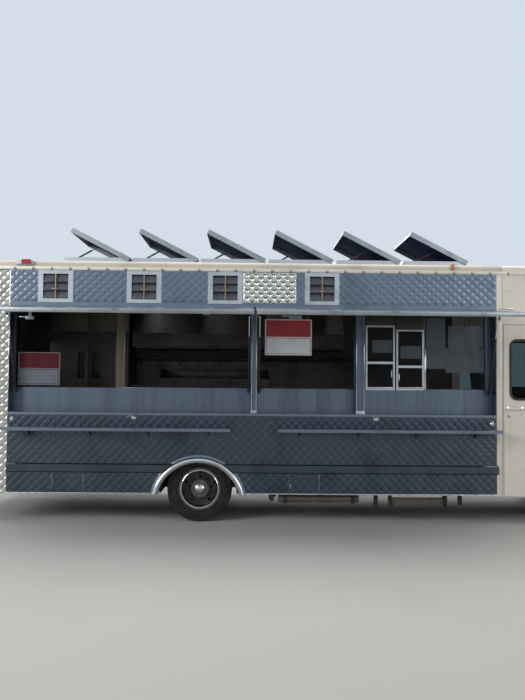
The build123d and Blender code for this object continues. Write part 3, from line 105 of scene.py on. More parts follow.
# %% Camera at the photograph's angle
frame_pixels = (525, 700)
focal_pixels = 749.2
camera_data = bpy.data.cameras.new("camera")
camera_data.sensor_width = 36
camera_data.lens = focal_pixels * camera_data.sensor_width / max(frame_pixels)
camera = bpy.data.objects.new("camera", camera_data)
bpy.context.scene.collection.objects.link(camera)
pitch, yaw, roll = (math.radians(angle) for angle in (2.327, -1.094, 0.501))
turn = Matrix.Rotation(yaw, 4, "Z") @ Matrix.Rotation(math.pi / 2 + pitch, 4, "X")
camera.matrix_world = (
    Matrix.Translation((-0.903, -10.011, 1.769)) @ turn @ Matrix.Rotation(roll, 4, "Z")
)
bpy.context.scene.camera = camera
print("lens", round(camera_data.lens, 2), "mm")

# %% [markdown]
# ## Colours and nodes
#
# Colours are picked as sRGB hex values, as from a paint card. Blender mixes light in linear
# values, so one function turns them over. A second small function adds a node, sets it up and
# links it, which keeps every material readable.


# %% Helpers for materials
def linear(code):
    """Linear colour from an sRGB hex code."""
    parts = [int(code[i:i + 2], 16) / 255 for i in (1, 3, 5)]
    curve = [c / 12.92 if c <= 0.04045 else ((c + 0.055) / 1.055) ** 2.4 for c in parts]
    return (*curve, 1)


def empty_tree(owner):
    """Node tree of a material or world, cleared."""
    owner.use_nodes = True
    owner.node_tree.nodes.clear()
    return owner.node_tree


def add_node(tree, kind, inputs=None, **settings):
    """Adds a node, sets its properties, and fills or links its inputs."""
    made = tree.nodes.new(kind)
    for key, value in settings.items():
        setattr(made, key, value)
    for key, value in (inputs or {}).items():
        socket = made.inputs[key]
        if isinstance(value, bpy.types.NodeSocket):
            tree.links.new(value, socket)
        else:
            socket.default_value = value
    return made


# %% [markdown]
# ## One recipe for worn surfaces
#
# Almost every finish on the truck is a base colour that drifts a little over large patches, a
# roughness that drifts with it, and a fine grain. The recipe takes each of those as a real size
# in millimetres. What is special to a finish is then added in its own cell.


# %% The recipe
def surface(name, colour, worn, metallic, roughness, patch, share, grain, depth,
            spread=0.12, stretch=(1, 1, 1), run=(1, 1, 1), coat=0.0, specular=0.5):
    """Material whose colour drifts to a worn one over patches, with a fine bump of its grain."""
    made = bpy.data.materials.new(name)
    tree = empty_tree(made)
    place = add_node(tree, "ShaderNodeTexCoord").outputs["Object"]
    flow = add_node(tree, "ShaderNodeMapping", {"Vector": place, "Scale": run})
    drift = add_node(tree, "ShaderNodeTexNoise", {
        "Vector": flow.outputs[0], "Scale": 1 / (patch * MM), "Detail": 5.0, "Roughness": 0.6})
    level = add_node(tree, "ShaderNodeMapRange", {
        "Value": drift.outputs["Fac"], "From Min": 0.62 - 0.24 * share, "From Max": 0.78})
    tint = add_node(tree, "ShaderNodeMix", {
        0: level.outputs[0], 6: linear(colour), 7: linear(worn)}, data_type="RGBA")
    rough = add_node(tree, "ShaderNodeMapRange", {
        "Value": drift.outputs["Fac"], "From Min": 0.3, "From Max": 0.7,
        "To Min": roughness - spread / 2, "To Max": roughness + spread / 2})
    lie = add_node(tree, "ShaderNodeMapping", {"Vector": place, "Scale": stretch})
    fine = add_node(tree, "ShaderNodeTexNoise", {
        "Vector": lie.outputs[0], "Scale": 1 / (grain * MM), "Detail": 3.0})
    bump = add_node(tree, "ShaderNodeBump", {
        "Height": fine.outputs["Fac"], "Distance": depth * MM, "Strength": 1.0})
    shader = add_node(tree, "ShaderNodeBsdfPrincipled", {
        "Base Color": tint.outputs[2], "Metallic": metallic, "Roughness": rough.outputs[0],
        "Normal": bump.outputs[0], "Coat Weight": coat, "Specular IOR Level": specular})
    add_node(tree, "ShaderNodeOutputMaterial", {"Surface": shader.outputs[0]})
    return made


# %% [markdown]
# ## Stainless steel
#
# The body is clad in 304 stainless sheet. Where it is quilted, the press leaves bright pillows
# that smear the sky; where it is flat, a brushed grain runs along the sheet. The steel colours are
# set a little dark and cool as painted shade under a blue sky, and the sheet below the shelves is
# painted darker still as the shelves' shade. Wiping has left upright streaks on the apron below
# the windows.

# %% Stainless finishes
BRUSHED = (0.06, 1, 1)
# Painted shade: the stainless colours are set a little dark and cool, as in shade under a blue sky.
quilted_steel = surface("quilted_stainless", "#77828E", "#5F6871", 1.0, 0.3, 420, 0.6,
                        9, 0.05, spread=0.16)
brushed_steel = surface("brushed_stainless", "#77818C", "#616A73", 1.0, 0.36, 500, 0.5,
                        3.5, 0.04, spread=0.1, stretch=BRUSHED)
# Painted shade of the shelves: the lower sheet's stainless is set darker still.
shelf_shaded_steel = surface("stainless_painted_shelf_shade", "#4D555F", "#3C4249", 1.0, 0.33, 380, 0.7,
                     9, 0.05, spread=0.16)
apron_steel = surface("apron_stainless", "#6A7482", "#4E5763", 1.0, 0.38, 130, 0.8,
                      4, 0.05, spread=0.16, stretch=BRUSHED, run=(1, 1, 0.07))
# Painted reflection: a lighter, warmer copy of the quilted steel, for the low sun in the pillows.
quilt_painted_reflection = surface("quilted_strip_painted_reflection", "#C9C5BC", "#A9A499", 1.0, 0.16, 260, 0.4,
                       12, 0.08, spread=0.08)
print("materials so far:", len(bpy.data.materials))

# %% [markdown]
# ## Bright trim, aluminium and galvanised sheet
#
# The bumpers, rim rings and wheel-arch trims are polished and mirror the ground. The vent frames,
# window frames, curbs and hatch lids are milled aluminium, whiter and softer than steel. The lids'
# undersides and the curbs' lower parts are painted dark navy as shade, and the sills below are
# galvanised, dull and blue-grey.

# %% Light metals
bright_trim = surface("polished_trim", "#CDD0D2", "#A9ADB0", 1.0, 0.14, 300, 0.4, 15, 0.03)
aluminium = surface("milled_aluminium", "#C4C7C9", "#9DA1A4", 1.0, 0.34, 250, 0.5, 4, 0.04,
                    stretch=(0.1, 1, 1))
lid_metal = surface("weathered_aluminium", "#A3A7AA", "#7E8387", 1.0, 0.42, 220, 0.8, 6, 0.06)
galvanised = surface("galvanised_sheet", "#6F7880", "#545C64", 1.0, 0.5, 90, 0.8, 12, 0.05)
# Painted shade: navy for the lids' undersides and the curbs' lower parts.
lid_shade_navy = surface("navy_painted_lid_shade", "#161F4A", "#101738", 0.0, 0.75, 200, 0.6, 8, 0.08,
                   specular=0.12)
chrome = surface("chrome_plate", "#D9DBDC", "#BFC2C4", 1.0, 0.07, 200, 0.3, 30, 0.01,
                 spread=0.04)
rivet_steel = surface("rivet_heads", "#D5D3CC", "#B5B2AA", 0.6, 0.3, 60, 0.4, 3, 0.02)
print("materials so far:", len(bpy.data.materials))

# %% [markdown]
# ## Paint
#
# The roof cap and the cab are cream white enamel, chalky from the sun. Spray paint has an
# orange-peel skin of a few millimetres. Frames below are satin black under road dust, and the
# kitchen's steel and lining are painted dark as the shade inside the body.

# %% Painted finishes
cream_paint = surface("cream_enamel", "#DAD3C4", "#C5BCAA", 0.0, 0.36, 600, 0.5, 5, 0.05,
                      coat=0.25)
roof_paint = surface("chalky_roof_paint", "#C9C1B1", "#AFA796", 0.0, 0.5, 450, 0.6, 6, 0.08)
chassis_black = surface("chassis_black", "#1E1D1C", "#4A443C", 0.0, 0.6, 160, 0.9, 5, 0.25)
cast_iron = surface("dusty_cast_iron", "#3A3835", "#5A5148", 0.4, 0.65, 120, 0.8, 4, 0.3)
wheel_paint = surface("dusty_wheel_paint", "#4B4B4C", "#6E675E", 0.3, 0.5, 70, 0.8, 4, 0.1)
strut_black = surface("strut_black", "#0D0E10", "#1B1C1E", 0.0, 0.35, 90, 0.4, 4, 0.03, coat=0.1)
undercoat = surface("rubberised_undercoat", "#1C1B1A", "#3A352F", 0.0, 0.85, 180, 0.8, 6, 0.5)
# Painted shade: the kitchen's steel and lining are set dark as the shade inside the body.
shaded_kitchen_steel = surface("kitchen_steel_painted_shade", "#4E4A45", "#3B3732", 0.85, 0.42, 300, 0.7, 5,
                        0.05)
fridge_bronze = surface("bronze_fridge_door", "#6B5E4E", "#574C3E", 0.3, 0.42, 260, 0.6, 5, 0.05)
lining = surface("kitchen_lining_painted_shade", "#57524B", "#46413A", 0.1, 0.55, 350, 0.6, 8, 0.05)
post_tan = surface("tan_panel", "#5F5340", "#4D4334", 0.0, 0.5, 300, 0.5, 6, 0.05)
# Painted shade: dark panels and faces in the window recess.
recess_shade_panel = surface("window_panel_painted_shade", "#3A3834", "#2B2926", 0.4, 0.4, 240, 0.6, 5, 0.04)
print("materials so far:", len(bpy.data.materials))

# %% [markdown]
# ## Rubber, plastic, glass and lamps
#
# Tyre rubber is never black outdoors: dust greys it. Seals are smoother. The kitchen's glass is
# clear, the cab's is tinted against the sun, and lenses are moulded polycarbonate.

# %% Soft and clear finishes
tyre_rubber = surface("tyre_rubber", "#232323", "#4A4540", 0.0, 0.75, 110, 0.8, 2.5, 0.12)
seal_rubber = surface("seal_rubber", "#17181A", "#2A2A2A", 0.0, 0.55, 90, 0.5, 3, 0.05)
cab_plastic = surface("grained_plastic", "#26272A", "#37383A", 0.0, 0.5, 150, 0.5, 2, 0.12)
seat_vinyl = surface("seat_vinyl", "#3B3E45", "#2C2F35", 0.0, 0.45, 90, 0.5, 3, 0.2)
paper_white = surface("blank_paper", "#EEF1F6", "#DCE1E9", 0.0, 0.7, 120, 0.5, 20, 0.1)
# Painted shade: a grey copy of the blank paper, for the sheets behind the glass.
shaded_paper = surface("paper_painted_shade", "#A9A9AE", "#97989D", 0.0, 0.7, 120, 0.5, 20, 0.1)
sign_board = surface("blank_sign_board", "#B23A45", "#9C303A", 0.0, 0.5, 150, 0.4, 8, 0.03)
red_lens = surface("red_lens", "#A81E1C", "#8E1816", 0.0, 0.12, 60, 0.4, 6, 0.03, coat=0.5)
amber_lens = surface("amber_lens", "#D9791E", "#C06414", 0.0, 0.12, 60, 0.4, 6, 0.03, coat=0.5)


def glass_sheet(name, colour):
    """Clear material whose body colour tints what is seen through it."""
    made = bpy.data.materials.new(name)
    tree = empty_tree(made)
    clear = add_node(tree, "ShaderNodeBsdfTransparent", {"Color": linear(colour)})
    gloss = add_node(tree, "ShaderNodeBsdfPrincipled", {
        "Base Color": linear("#0B0F12"), "Roughness": 0.02, "Metallic": 0.0})
    facing = add_node(tree, "ShaderNodeFresnel", {"IOR": 1.5})
    both = add_node(tree, "ShaderNodeMixShader", {
        0: facing.outputs[0], 1: clear.outputs[0], 2: gloss.outputs[0]})
    add_node(tree, "ShaderNodeOutputMaterial", {"Surface": both.outputs[0]})
    return made


window_glass = glass_sheet("window_glass", "#F5F7F9")
cab_glass = glass_sheet("tinted_cab_glass", "#93A09F")
lamp_glass = glass_sheet("lamp_glass", "#E6EDF0")
print("materials so far:", len(bpy.data.materials))

# %% [markdown]
# ## Dress the solids
#
# Each solid of the CAD model gets its finish from one table, by the start of its name. The first
# row that fits counts, so the awnings' struts come before the awnings.

# %% Finishes of the CAD nodes
FINISHES = (
    # finish, starts of the nodes' names
    (chassis_black, "chassis_frame", "tank_and_exhaust"),
    (cast_iron, "leaf_springs", "front_axle", "rear_axle", "engine_and_driveshaft", "knuckle_"),
    (galvanised, "floor"),
    (strut_black, "hatch_strut_", "awning_strut_barrels_"),
    (bright_trim, "awning_strut_rods_", "body_trim", "bumpers", "grille"),
    (brushed_steel, "service_wall", "street_wall", "rear_wall", "shelves", "awning_", "rear_door",
     "access_door_"),
    (apron_steel, "window_wall"),
    (aluminium, "window_frames", "hatch_curbs", "vents"),
    (roof_paint, "roof"),
    (lid_metal, "hatch_lid_"),
    (cream_paint, "cab_shell", "cab_door_"),
    (window_glass, "fixed_glass"),
    (lamp_glass, "lamps"),
    (cab_plastic, "mirrors", "cab_interior"),
    (shaded_kitchen_steel, "kitchen_line"),
    (wheel_paint, "rear_rims_", "front_rim_"),
    (tyre_rubber, "rear_tyres_", "front_tyre_"),
)
for name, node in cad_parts.items():
    finish = next(kind for kind, *starts in FINISHES if name.startswith(tuple(starts)))
    node.data.materials.clear()
    node.data.materials.append(finish)
print("dressed", len(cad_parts), "solids with", len(FINISHES), "rows")

# %% [markdown]
# ## Tools of the bench
#
# Every new piece starts from one of Blender's primitives, laid at its size and place, and is
# shaped from there. Small helpers keep that short: some choose what an operator acts on, others
# make a bar between two corners or a rod between two points, and the last one puts a finished
# piece in place: named, at the origin, in its material and on its body.


# %% Helpers for modelling
def start():
    """Back to object mode with nothing selected."""
    if bpy.context.mode != "OBJECT":
        bpy.ops.object.mode_set(mode="OBJECT")
    bpy.ops.object.select_all(action="DESELECT")


def take(*pieces):
    """Selects these pieces alone; the first one is active."""
    start()
    for piece in pieces:
        piece.select_set(True)
    bpy.context.view_layer.objects.active = pieces[0]


def edit(obj):
    """Edit mode on a piece, with all of it selected."""
    take(obj)
    bpy.ops.object.mode_set(mode="EDIT")
    bpy.ops.mesh.select_all(action="SELECT")


def finish_modifiers(obj):
    """Applies every modifier of a piece."""
    take(obj)
    for modifier in list(obj.modifiers):
        bpy.ops.object.modifier_apply(modifier=modifier.name)


def bar(low, high, edge=1.0, segments=2):
    """Box between two corners, its edges rounded by millimetres."""
    start()
    low, high = Vector(low), Vector(high)
    bpy.ops.mesh.primitive_cube_add(size=1, location=(low + high) / 2)
    made = bpy.context.object
    made.scale = high - low
    bpy.ops.object.transform_apply()
    if edge:
        rounding = made.modifiers.new("edges", "BEVEL")
        rounding.width = edge * MM
        rounding.segments = segments
        finish_modifiers(made)
    return made


def block(x, y, z, edge=1.0, datum=rear_axle):
    """Bar between pairs of limits in millimetres: from a datum, off the middle, above ground."""
    return bar(spot(x[0], y[0], z[0], datum), spot(x[1], y[1], z[1], datum), edge)


def side_bar(x, out, z, edge=1.0, side=-1):
    """Bar on a side wall between pairs of limits in millimetres."""
    one, two = (side_point(x[i], out[i], z[i], side) for i in (0, 1))
    return bar(map(min, one, two), map(max, one, two), edge)


def rod(first, last, radius, sides=16, tip=None):
    """Round bar between two points, radius in millimetres; with a tip radius it tapers."""
    start()
    first, last = Vector(first), Vector(last)
    way = last - first
    bpy.ops.mesh.primitive_cone_add(
        vertices=sides, radius1=radius * MM, radius2=(radius if tip is None else tip) * MM,
        depth=way.length, location=(first + last) / 2,
        rotation=way.to_track_quat("Z", "Y").to_euler())
    made = bpy.context.object
    bpy.ops.object.transform_apply()
    return made


def joined(parts):
    """One mesh from several."""
    take(*parts)
    bpy.ops.object.join()
    return bpy.context.object


def copied(obj, places):
    """A piece and its copies, each with its own mesh, moved by one of the matrices."""
    made = [obj]
    for place in places:
        twin = obj.copy()
        twin.data = obj.data.copy()
        twin.data.transform(place)
        bpy.context.scene.collection.objects.link(twin)
        made.append(twin)
    return made


def row(obj, step, count):
    """A piece repeated along a line, with a step in millimetres between neighbours."""
    step = Vector(step) * MM
    return copied(obj, [Matrix.Translation(step * number) for number in range(1, count)])


def settle(made, name, material, body="root", smooth=35):
    """Puts a piece, or a list of parts as one, at the origin, in its material, on its body."""
    obj = joined(made) if isinstance(made, list) else made
    take(obj)
    bpy.ops.object.transform_apply()
    if smooth:
        bpy.ops.object.shade_smooth_by_angle(angle=math.radians(smooth))
    obj.name = obj.data.name = name
    obj.data.materials.clear()
    obj.data.materials.append(material)
    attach(obj, body)
    print(name, len(obj.data.polygons), "faces")
    return obj


# %% [markdown]
# ## Quilted stainless
#
# Catering bodies are clad in sheet that was pressed into diamonds of three inches a side. Each
# diamond is a shallow pillow between flat seams, and it is the pillows' slopes that catch the
# sky. A grid turned by 45 degrees gives the diamonds; every face is then inset by itself twice,
# first up the slope and then over the crown. Cut-outs are made last, once the sheet has a
# thickness, so that the edge of the sheet shows in them.


# %% The quilting press
OFF_WALL = 0.2  # sheets and strips stand this far off the solids, so that no faces coincide


def quilted(width, height, diamond=76, puff=3.2, seam=5):
    """Pressed sheet from the origin to width and height in millimetres, facing +Z."""
    start()
    pitch = diamond * math.sqrt(2)
    across, up = max(1, round(width / pitch)), max(1, round(height / pitch))
    count = 2 * math.ceil((across + up) / 2 + 1)
    bpy.ops.mesh.primitive_grid_add(
        x_subdivisions=count, y_subdivisions=count, size=count / math.sqrt(2),
        location=(across // 2, up // 2, 0), rotation=(0, 0, math.pi / 4))
    made = bpy.context.object
    bpy.ops.object.transform_apply()
    borders = (((0, 0, 0), (-1, 0, 0)), ((0, 0, 0), (0, -1, 0)),
               ((across, up, 0), (1, 0, 0)), ((across, up, 0), (0, 1, 0)))
    for point, outwards in borders:
        edit(made)
        bpy.ops.mesh.bisect(plane_co=point, plane_no=outwards, clear_outer=True, threshold=0.001)
    take(made)
    made.scale = (width * MM / across, height * MM / up, 1)
    bpy.ops.object.transform_apply()
    edit(made)
    for wide, share in ((1, 0.55), (1.9, 0.45)):  # the slope, then the crown
        bpy.ops.mesh.inset(thickness=seam * wide * MM, depth=puff * share * MM,
                           use_individual=True)
    start()
    return made


def stand(obj, corner, turn=0.0):
    """Stands a flat sheet up on its lower edge at a corner, turned about the upright."""
    lift = Matrix.Rotation(math.pi / 2, 4, "X")
    obj.data.transform(Matrix.Translation(corner) @ Matrix.Rotation(turn, 4, "Z") @ lift)
    return obj


def cut(obj, cutters=(), sheet=1.2):
    """Gives a sheet its thickness, then takes the cutters out of it."""
    wall = obj.modifiers.new("sheet", "SOLIDIFY")
    wall.thickness = sheet * MM
    wall.offset = -1
    finish_modifiers(obj)
    if cutters:
        tool = joined(cutters)
        hole = obj.modifiers.new("cut", "BOOLEAN")
        hole.operation = "DIFFERENCE"
        hole.solver = "EXACT"
        hole.object = tool
        finish_modifiers(obj)
        bpy.data.objects.remove(tool)
    return obj


def facing(side):
    """Turn that makes a sheet that was stood up look out from a side wall."""
    return 0 if side < 0 else math.pi


def clad(x, z, cutters=(), sheet=1.2, side=-1, **press):
    """Quilted sheet on a side wall between pairs of limits."""
    made = quilted(x[1] - x[0], z[1] - z[0], **press)
    corner = side_point(x[0] if side < 0 else x[1], OFF_WALL, z[0], side)
    return cut(stand(made, corner, facing(side)), cutters, sheet)


# %% [markdown]
# ### Cladding of the serving side
#
# The lower sheet runs from the skirt to the sill of the service opening, with the wheel arch,
# two access doors and room for the shut awnings' latches cut out; it is painted darker as the
# shelves' shade. The upper band sits above the awnings' hinge and has the four vent holes. The
# corner strip at the very back and one patch beside the third vent, pressed deeper, are painted
# lighter and warmer as a painted reflection of the low sun in their pillows.

# %% Serving side in quilted sheet
SKIRT, SILL, WALL_TOP = 352, 1326, 3126
CORNER_REAR, CLAD_REAR, CLAD_FRONT = -2798, -2385, 3718
BAND_LOW, BAND_HIGH = 2732, 3128
VENTS, VENT_Z = (-1821, -719, 297, 1515), 2925
PATCH = (520, 1194)
ACCESS = ((-1806, -1443), (1133, 1486))
LATCHES = (-860, 2195)
ARCH_X, ARCH_Z, ARCH_RADIUS = -15, 217, 560
THROUGH = (-30, 30)


def arch_hole(side, sides):
    """Cutter for the rear wheel arch of a side wall."""
    return rod(*(side_point(ARCH_X, out, ARCH_Z, side) for out in THROUGH), ARCH_RADIUS, sides)


holes = [arch_hole(-1, 96)]
holes += [side_bar(door, THROUGH, (340, 603), 0) for door in ACCESS]
holes += [side_bar((x - 42, x + 42), THROUGH, (1303, 1400), 0) for x in LATCHES]
# The lower sheet is painted darker as the shelves' shade.
lower = clad((CLAD_REAR, CLAD_FRONT), (SKIRT, SILL), holes)
settle(lower, "quilted_lower_side", shelf_shaded_steel)
band = []
for low, high in ((CLAD_REAR, PATCH[0]), (PATCH[1], CLAD_FRONT)):
    holes = [side_bar((x - 163, x + 163), THROUGH, (VENT_Z - 163, VENT_Z + 163), 0)
             for x in VENTS if low < x < high]
    band.append(clad((low, high), (BAND_LOW, BAND_HIGH), holes, puff=2.8))
settle(band, "quilted_upper_band", quilted_steel)
# The patch and the corner strip are painted lighter and warmer as reflection of the low sun.
patch = clad((PATCH[0] + 3, PATCH[1] - 3), (BAND_LOW + 2, BAND_HIGH - 2), puff=7, seam=4)
settle(patch, "quilted_patch_painted_reflection", quilt_painted_reflection)
corner = clad((CORNER_REAR, CLAD_REAR), (SKIRT, WALL_TOP), puff=6, seam=4)
settle(corner, "quilted_corner_painted_reflection", quilt_painted_reflection)

# %% [markdown]
# ## Finishes by the face
#
# A solid of the CAD model can carry more than one finish: a wheel has a bright outer ring and a
# dark dish, a deck is plated above and undercoated below. The faces are chosen by their place.


# %% Painting some faces of a solid
def paint(node, material, test):
    """Gives the faces of a CAD solid that pass a test on middle and normal another finish."""
    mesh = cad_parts[node].data
    mesh.materials.append(material)
    faces = [face for face in mesh.polygons if test(face.center, face.normal)]
    for face in faces:
        face.material_index = len(mesh.materials) - 1
    print("painted", len(faces), "faces of", node)


# %% [markdown]
# ## Tyres and wheels
#
# Six tyres of about 0.81 m: two single ones in front and dual pairs behind. A tyre is a body of
# revolution, so its section is drawn once, point by point, and spun round the axle. Ribs and
# grooves belong to the section; the cross grooves that make blocks of the shoulders are cut by
# insetting every other face of the tread inwards. The lathe below serves hubs and lamps too.


# %% The lathe and the tyres
def turned(profile, centre, way=1, steps=64, axis="Y"):
    """Solid of revolution: profile holds (off the centre, radius) pairs in millimetres."""
    start()
    bpy.ops.mesh.primitive_plane_add(size=0.01, location=(0, 0, 0))
    made = bpy.context.object
    edit(made)
    bpy.ops.mesh.merge(type="CENTER")
    (off, radius), *rest = profile
    bpy.ops.transform.translate(value=(0, way * off * MM, radius * MM))
    for next_off, next_radius in rest:
        step = (0, way * (next_off - off) * MM, (next_radius - radius) * MM)
        bpy.ops.mesh.extrude_vertices_move(TRANSFORM_OT_translate={"value": step})
        off, radius = next_off, next_radius
    bpy.ops.mesh.select_all(action="SELECT")
    bpy.ops.mesh.spin(steps=steps, angle=2 * math.pi, center=(0, 0, 0), axis=(0, 1, 0))
    bpy.ops.mesh.select_all(action="SELECT")
    bpy.ops.mesh.remove_doubles(threshold=0.00001)
    bpy.ops.mesh.normals_make_consistent(inside=False)
    start()
    if axis == "X":
        made.data.transform(Matrix.Rotation(-math.pi / 2, 4, "Z"))
    if axis == "Z":
        made.data.transform(Matrix.Rotation(math.pi / 2, 4, "X"))
    made.data.transform(Matrix.Translation(centre))
    return made


TYRE_HALF = (
    # from the bead outwards: off the middle of the tyre, radius
    (82, 263), (90, 266), (99, 275), (104, 290), (102, 293), (104, 296), (107.5, 320),
    (107.5, 330), (105, 350), (107, 353), (106, 360), (103, 364), (100, 386), (92, 399), (88, 403.5),
    (62, 403.8), (60, 394), (54, 394), (52, 403.8), (24, 403.8), (22, 394), (16, 394), (14, 403.8),
)
BEAD = ((-82, 249), (82, 249), (82, 263))
TREAD_STEPS = 96


def tyre(centre):
    """Radial truck tyre with ribs, grooves and cut shoulders."""
    half = list(TYRE_HALF)
    profile = half + [(-off, radius) for off, radius in reversed(half)]
    made = turned([*profile, *BEAD], centre, steps=TREAD_STEPS)
    for face in made.data.polygons:
        around = face.center - centre
        off = abs(around.y) / MM
        turn = int((math.atan2(around.z, around.x) / (2 * math.pi) + 1) * TREAD_STEPS)
        face.select = (math.hypot(around.x, around.z) > 0.399 and turn % 2 == 0
                       and (off > 62 or 24 < off < 52))
    take(made)
    bpy.ops.object.mode_set(mode="EDIT")
    bpy.ops.mesh.select_mode(type="FACE")
    bpy.ops.mesh.inset(thickness=3 * MM, depth=-7 * MM, use_individual=True)
    bpy.ops.mesh.select_mode(type="VERT")
    start()
    return made


AXLE_Z = 404
DUAL_MATE, DUAL_HALF, FRONT_TRACK = 880, 130, 960
for side, which in SIDES:
    for name, axle, tracks, stands_for in (
            ("dual_tyres", rear_axle, (DUAL_MATE - DUAL_HALF, DUAL_MATE + DUAL_HALF), "rear_tyres"),
            ("steer_tyre", front_axle, (FRONT_TRACK,), "front_tyre")):
        end = stands_for.split("_")[0]
        tyres = [tyre(spot(0, side * track, AXLE_Z, axle)) for track in tracks]
        made = settle(tyres, f"{name}_{which}", tyre_rubber, f"{end}_wheel_{which}",
                      smooth=30)
        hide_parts(f"{stands_for}_{which}")

# %% [markdown]
# ### Rims, hubs and nuts
#
# The steel rims are dusty dark grey, with a bright trim ring rolled into the lip of the barrel
# and a chromed dome on the hub. Eight flanged nuts sit on the disc. One nut is made and copied
# round the circle.

# %% Rims and nuts
RING = ((-12, 237), (1, 238), (3, 234), (2, 229), (-2, 226), (-12, 228), (-12, 237))
NUT_CIRCLE, CAP_RADIUS = 137.5, 68


def wheel_nuts(centre, side):
    """Eight nuts with collars and studs on a circle, facing outwards."""
    out = Vector((0, side * MM, 0))
    foot = centre + Vector((NUT_CIRCLE * MM, 0, 0))
    nut = rod(foot - out * 4, foot + out * 20, 16.5, sides=6)
    collar = rod(foot - out * 4, foot + out * 5, 21, sides=14)
    stud = rod(foot + out * 16, foot + out * 33, 10, sides=10, tip=8.5)
    turns = [Matrix.Rotation(2 * math.pi * count / 8, 4, "Y") for count in range(1, 8)]
    return copied(joined([nut, collar, stud]), [
        Matrix.Translation(centre) @ turn @ Matrix.Translation(-centre) for turn in turns])


WHEELS = (
    # end, start of the rims' node, axle, then off the middle: trim ring, hub cap, nuts
    ("rear", "rear_rims", rear_axle, DUAL_MATE + DUAL_HALF + 97, 1052, DUAL_MATE + 12),
    ("front", "front_rim", front_axle, FRONT_TRACK + 118, 1117, FRONT_TRACK + 120),
)
for side, which in SIDES:
    for end, rims, axle, lip, cap, _ in WHEELS:
        paint(f"{rims}_{which}", bright_trim, lambda place, normal: (
            math.hypot(place.x - axle, place.z - AXLE_Z * MM) < CAP_RADIUS * MM
            and side * (place.y - middle) > cap * MM))
        ring = turned(RING, spot(0, side * lip, AXLE_Z, axle), side, steps=72)
        settle(ring, f"{end}_rim_ring_{which}", bright_trim, f"{end}_wheel_{which}")
for side, which in SIDES:
    for end, _, axle, _, _, disc in WHEELS:
        nuts = wheel_nuts(spot(0, side * disc, AXLE_Z, axle), side)
        settle(nuts, f"{end}_nuts_{which}", cast_iron, f"{end}_wheel_{which}")

# %% [markdown]
# ## Undercoat and inner faces
#
# Below the deck everything is undercoated and dusty; the deck itself is bright tread plate. The
# inner faces of the walls are lining sheet, painted dark as the shade inside the body. The rub rail
# of the serving side is painted dark as shade, like the sheet behind it.

# %% Faces below and inside
paint("floor", undercoat, lambda place, normal: place.z < 0.79 or abs(normal.z) < 0.5)
# Inner faces of the walls, roof and window wall: lining painted dark as shade.
paint("street_wall", lining, lambda place, normal: normal.y < -0.5)
paint("service_wall", lining, lambda place, normal: normal.y > 0.5)
paint("rear_wall", lining, lambda place, normal: normal.x > 0.5)
paint("roof", lining, lambda place, normal: normal.z < -0.3 and place.z > 3.15)
paint("window_wall", lining, lambda place, normal: normal.y > 0.5)
# The serving side's rub rail gets the painted shade of the lower sheet.
for side, rail_metal in ((-1, shelf_shaded_steel), (1, brushed_steel)):
    paint("body_trim", rail_metal, lambda place, normal: (
        0.61 < place.z < 0.73 and side * (place.y - middle) > 0
        and math.hypot(place.x - along(ARCH_X), place.z - ARCH_Z * MM) > 0.596))
# Lower parts of the curbs and undersides of the lids: painted shade in navy.
paint("hatch_curbs", lid_shade_navy, lambda place, normal: place.z < 3.24)
for number in range(1, 7):
    paint(f"hatch_lid_{number}", lid_shade_navy, lambda place, normal: normal.z < -0.6)
# Upward faces low in the window recess: painted shade.
paint("window_wall", recess_shade_panel, lambda place, normal: (
    normal.z > 0.9 and place.z < 1.7 and place.y > service + 0.17))

# %% [markdown]
# ## Strips, rings and rivets
#
# Much of the truck's trim is the same few things again: a strip along a side wall, a rounded
# panel or ring round an opening, a band round a wheel arch and a row of domed rivets.


# %% Helpers for trim
def arch_band(profile, side, x, z):
    """Band round a wheel arch on a side wall, cut off level with the skirt."""
    made = turned(profile, side_point(x, 0, z, side), way=side, steps=96)
    edit(made)
    bpy.ops.mesh.bisect(plane_co=(0, 0, SKIRT * MM), plane_no=(0, 0, -1), clear_outer=True,
                        use_fill=True)
    start()
    return made


def rounded(width, height, radius, thick, band=0):
    """Flat panel about the origin with round corners; with a band only its border is left."""
    start()
    bpy.ops.mesh.primitive_plane_add(size=1)
    made = bpy.context.object
    made.scale = (width * MM, height * MM, 1)
    bpy.ops.object.transform_apply()
    edit(made)
    if radius:
        bpy.ops.mesh.bevel(offset=radius * MM, segments=6, affect="VERTICES")
    if band:
        bpy.ops.mesh.inset(thickness=band * MM)
        bpy.ops.mesh.delete(type="FACE")
    start()
    return cut(made, sheet=thick)


def side_panel(x, out, z, radius, thick, band=0, side=-1):
    """Rounded panel or ring on a side wall between pairs of limits."""
    made = rounded(x[1] - x[0], z[1] - z[0], radius, thick, band)
    return stand(made, side_point(sum(x) / 2, out, sum(z) / 2, side), facing(side))


def rivets(spots, way, radius, name, body="root", material=rivet_steel, rise=0.7, tip=0.45):
    """Domed heads at the given places; one is made and the others are its copies."""
    first = spots[0]
    head = rod(first, first + Vector(way) * radius * rise * MM, radius, sides=10, tip=radius * tip)
    return settle(copied(head, [Matrix.Translation(place - first) for place in spots[1:]]),
                  name, material, body)


def evenly(first, last, pitch):
    """Evenly spread values from the first to the last, about a pitch apart."""
    count = max(1, round((last - first) / pitch))
    return [first + (last - first) * i / count for i in range(count + 1)]
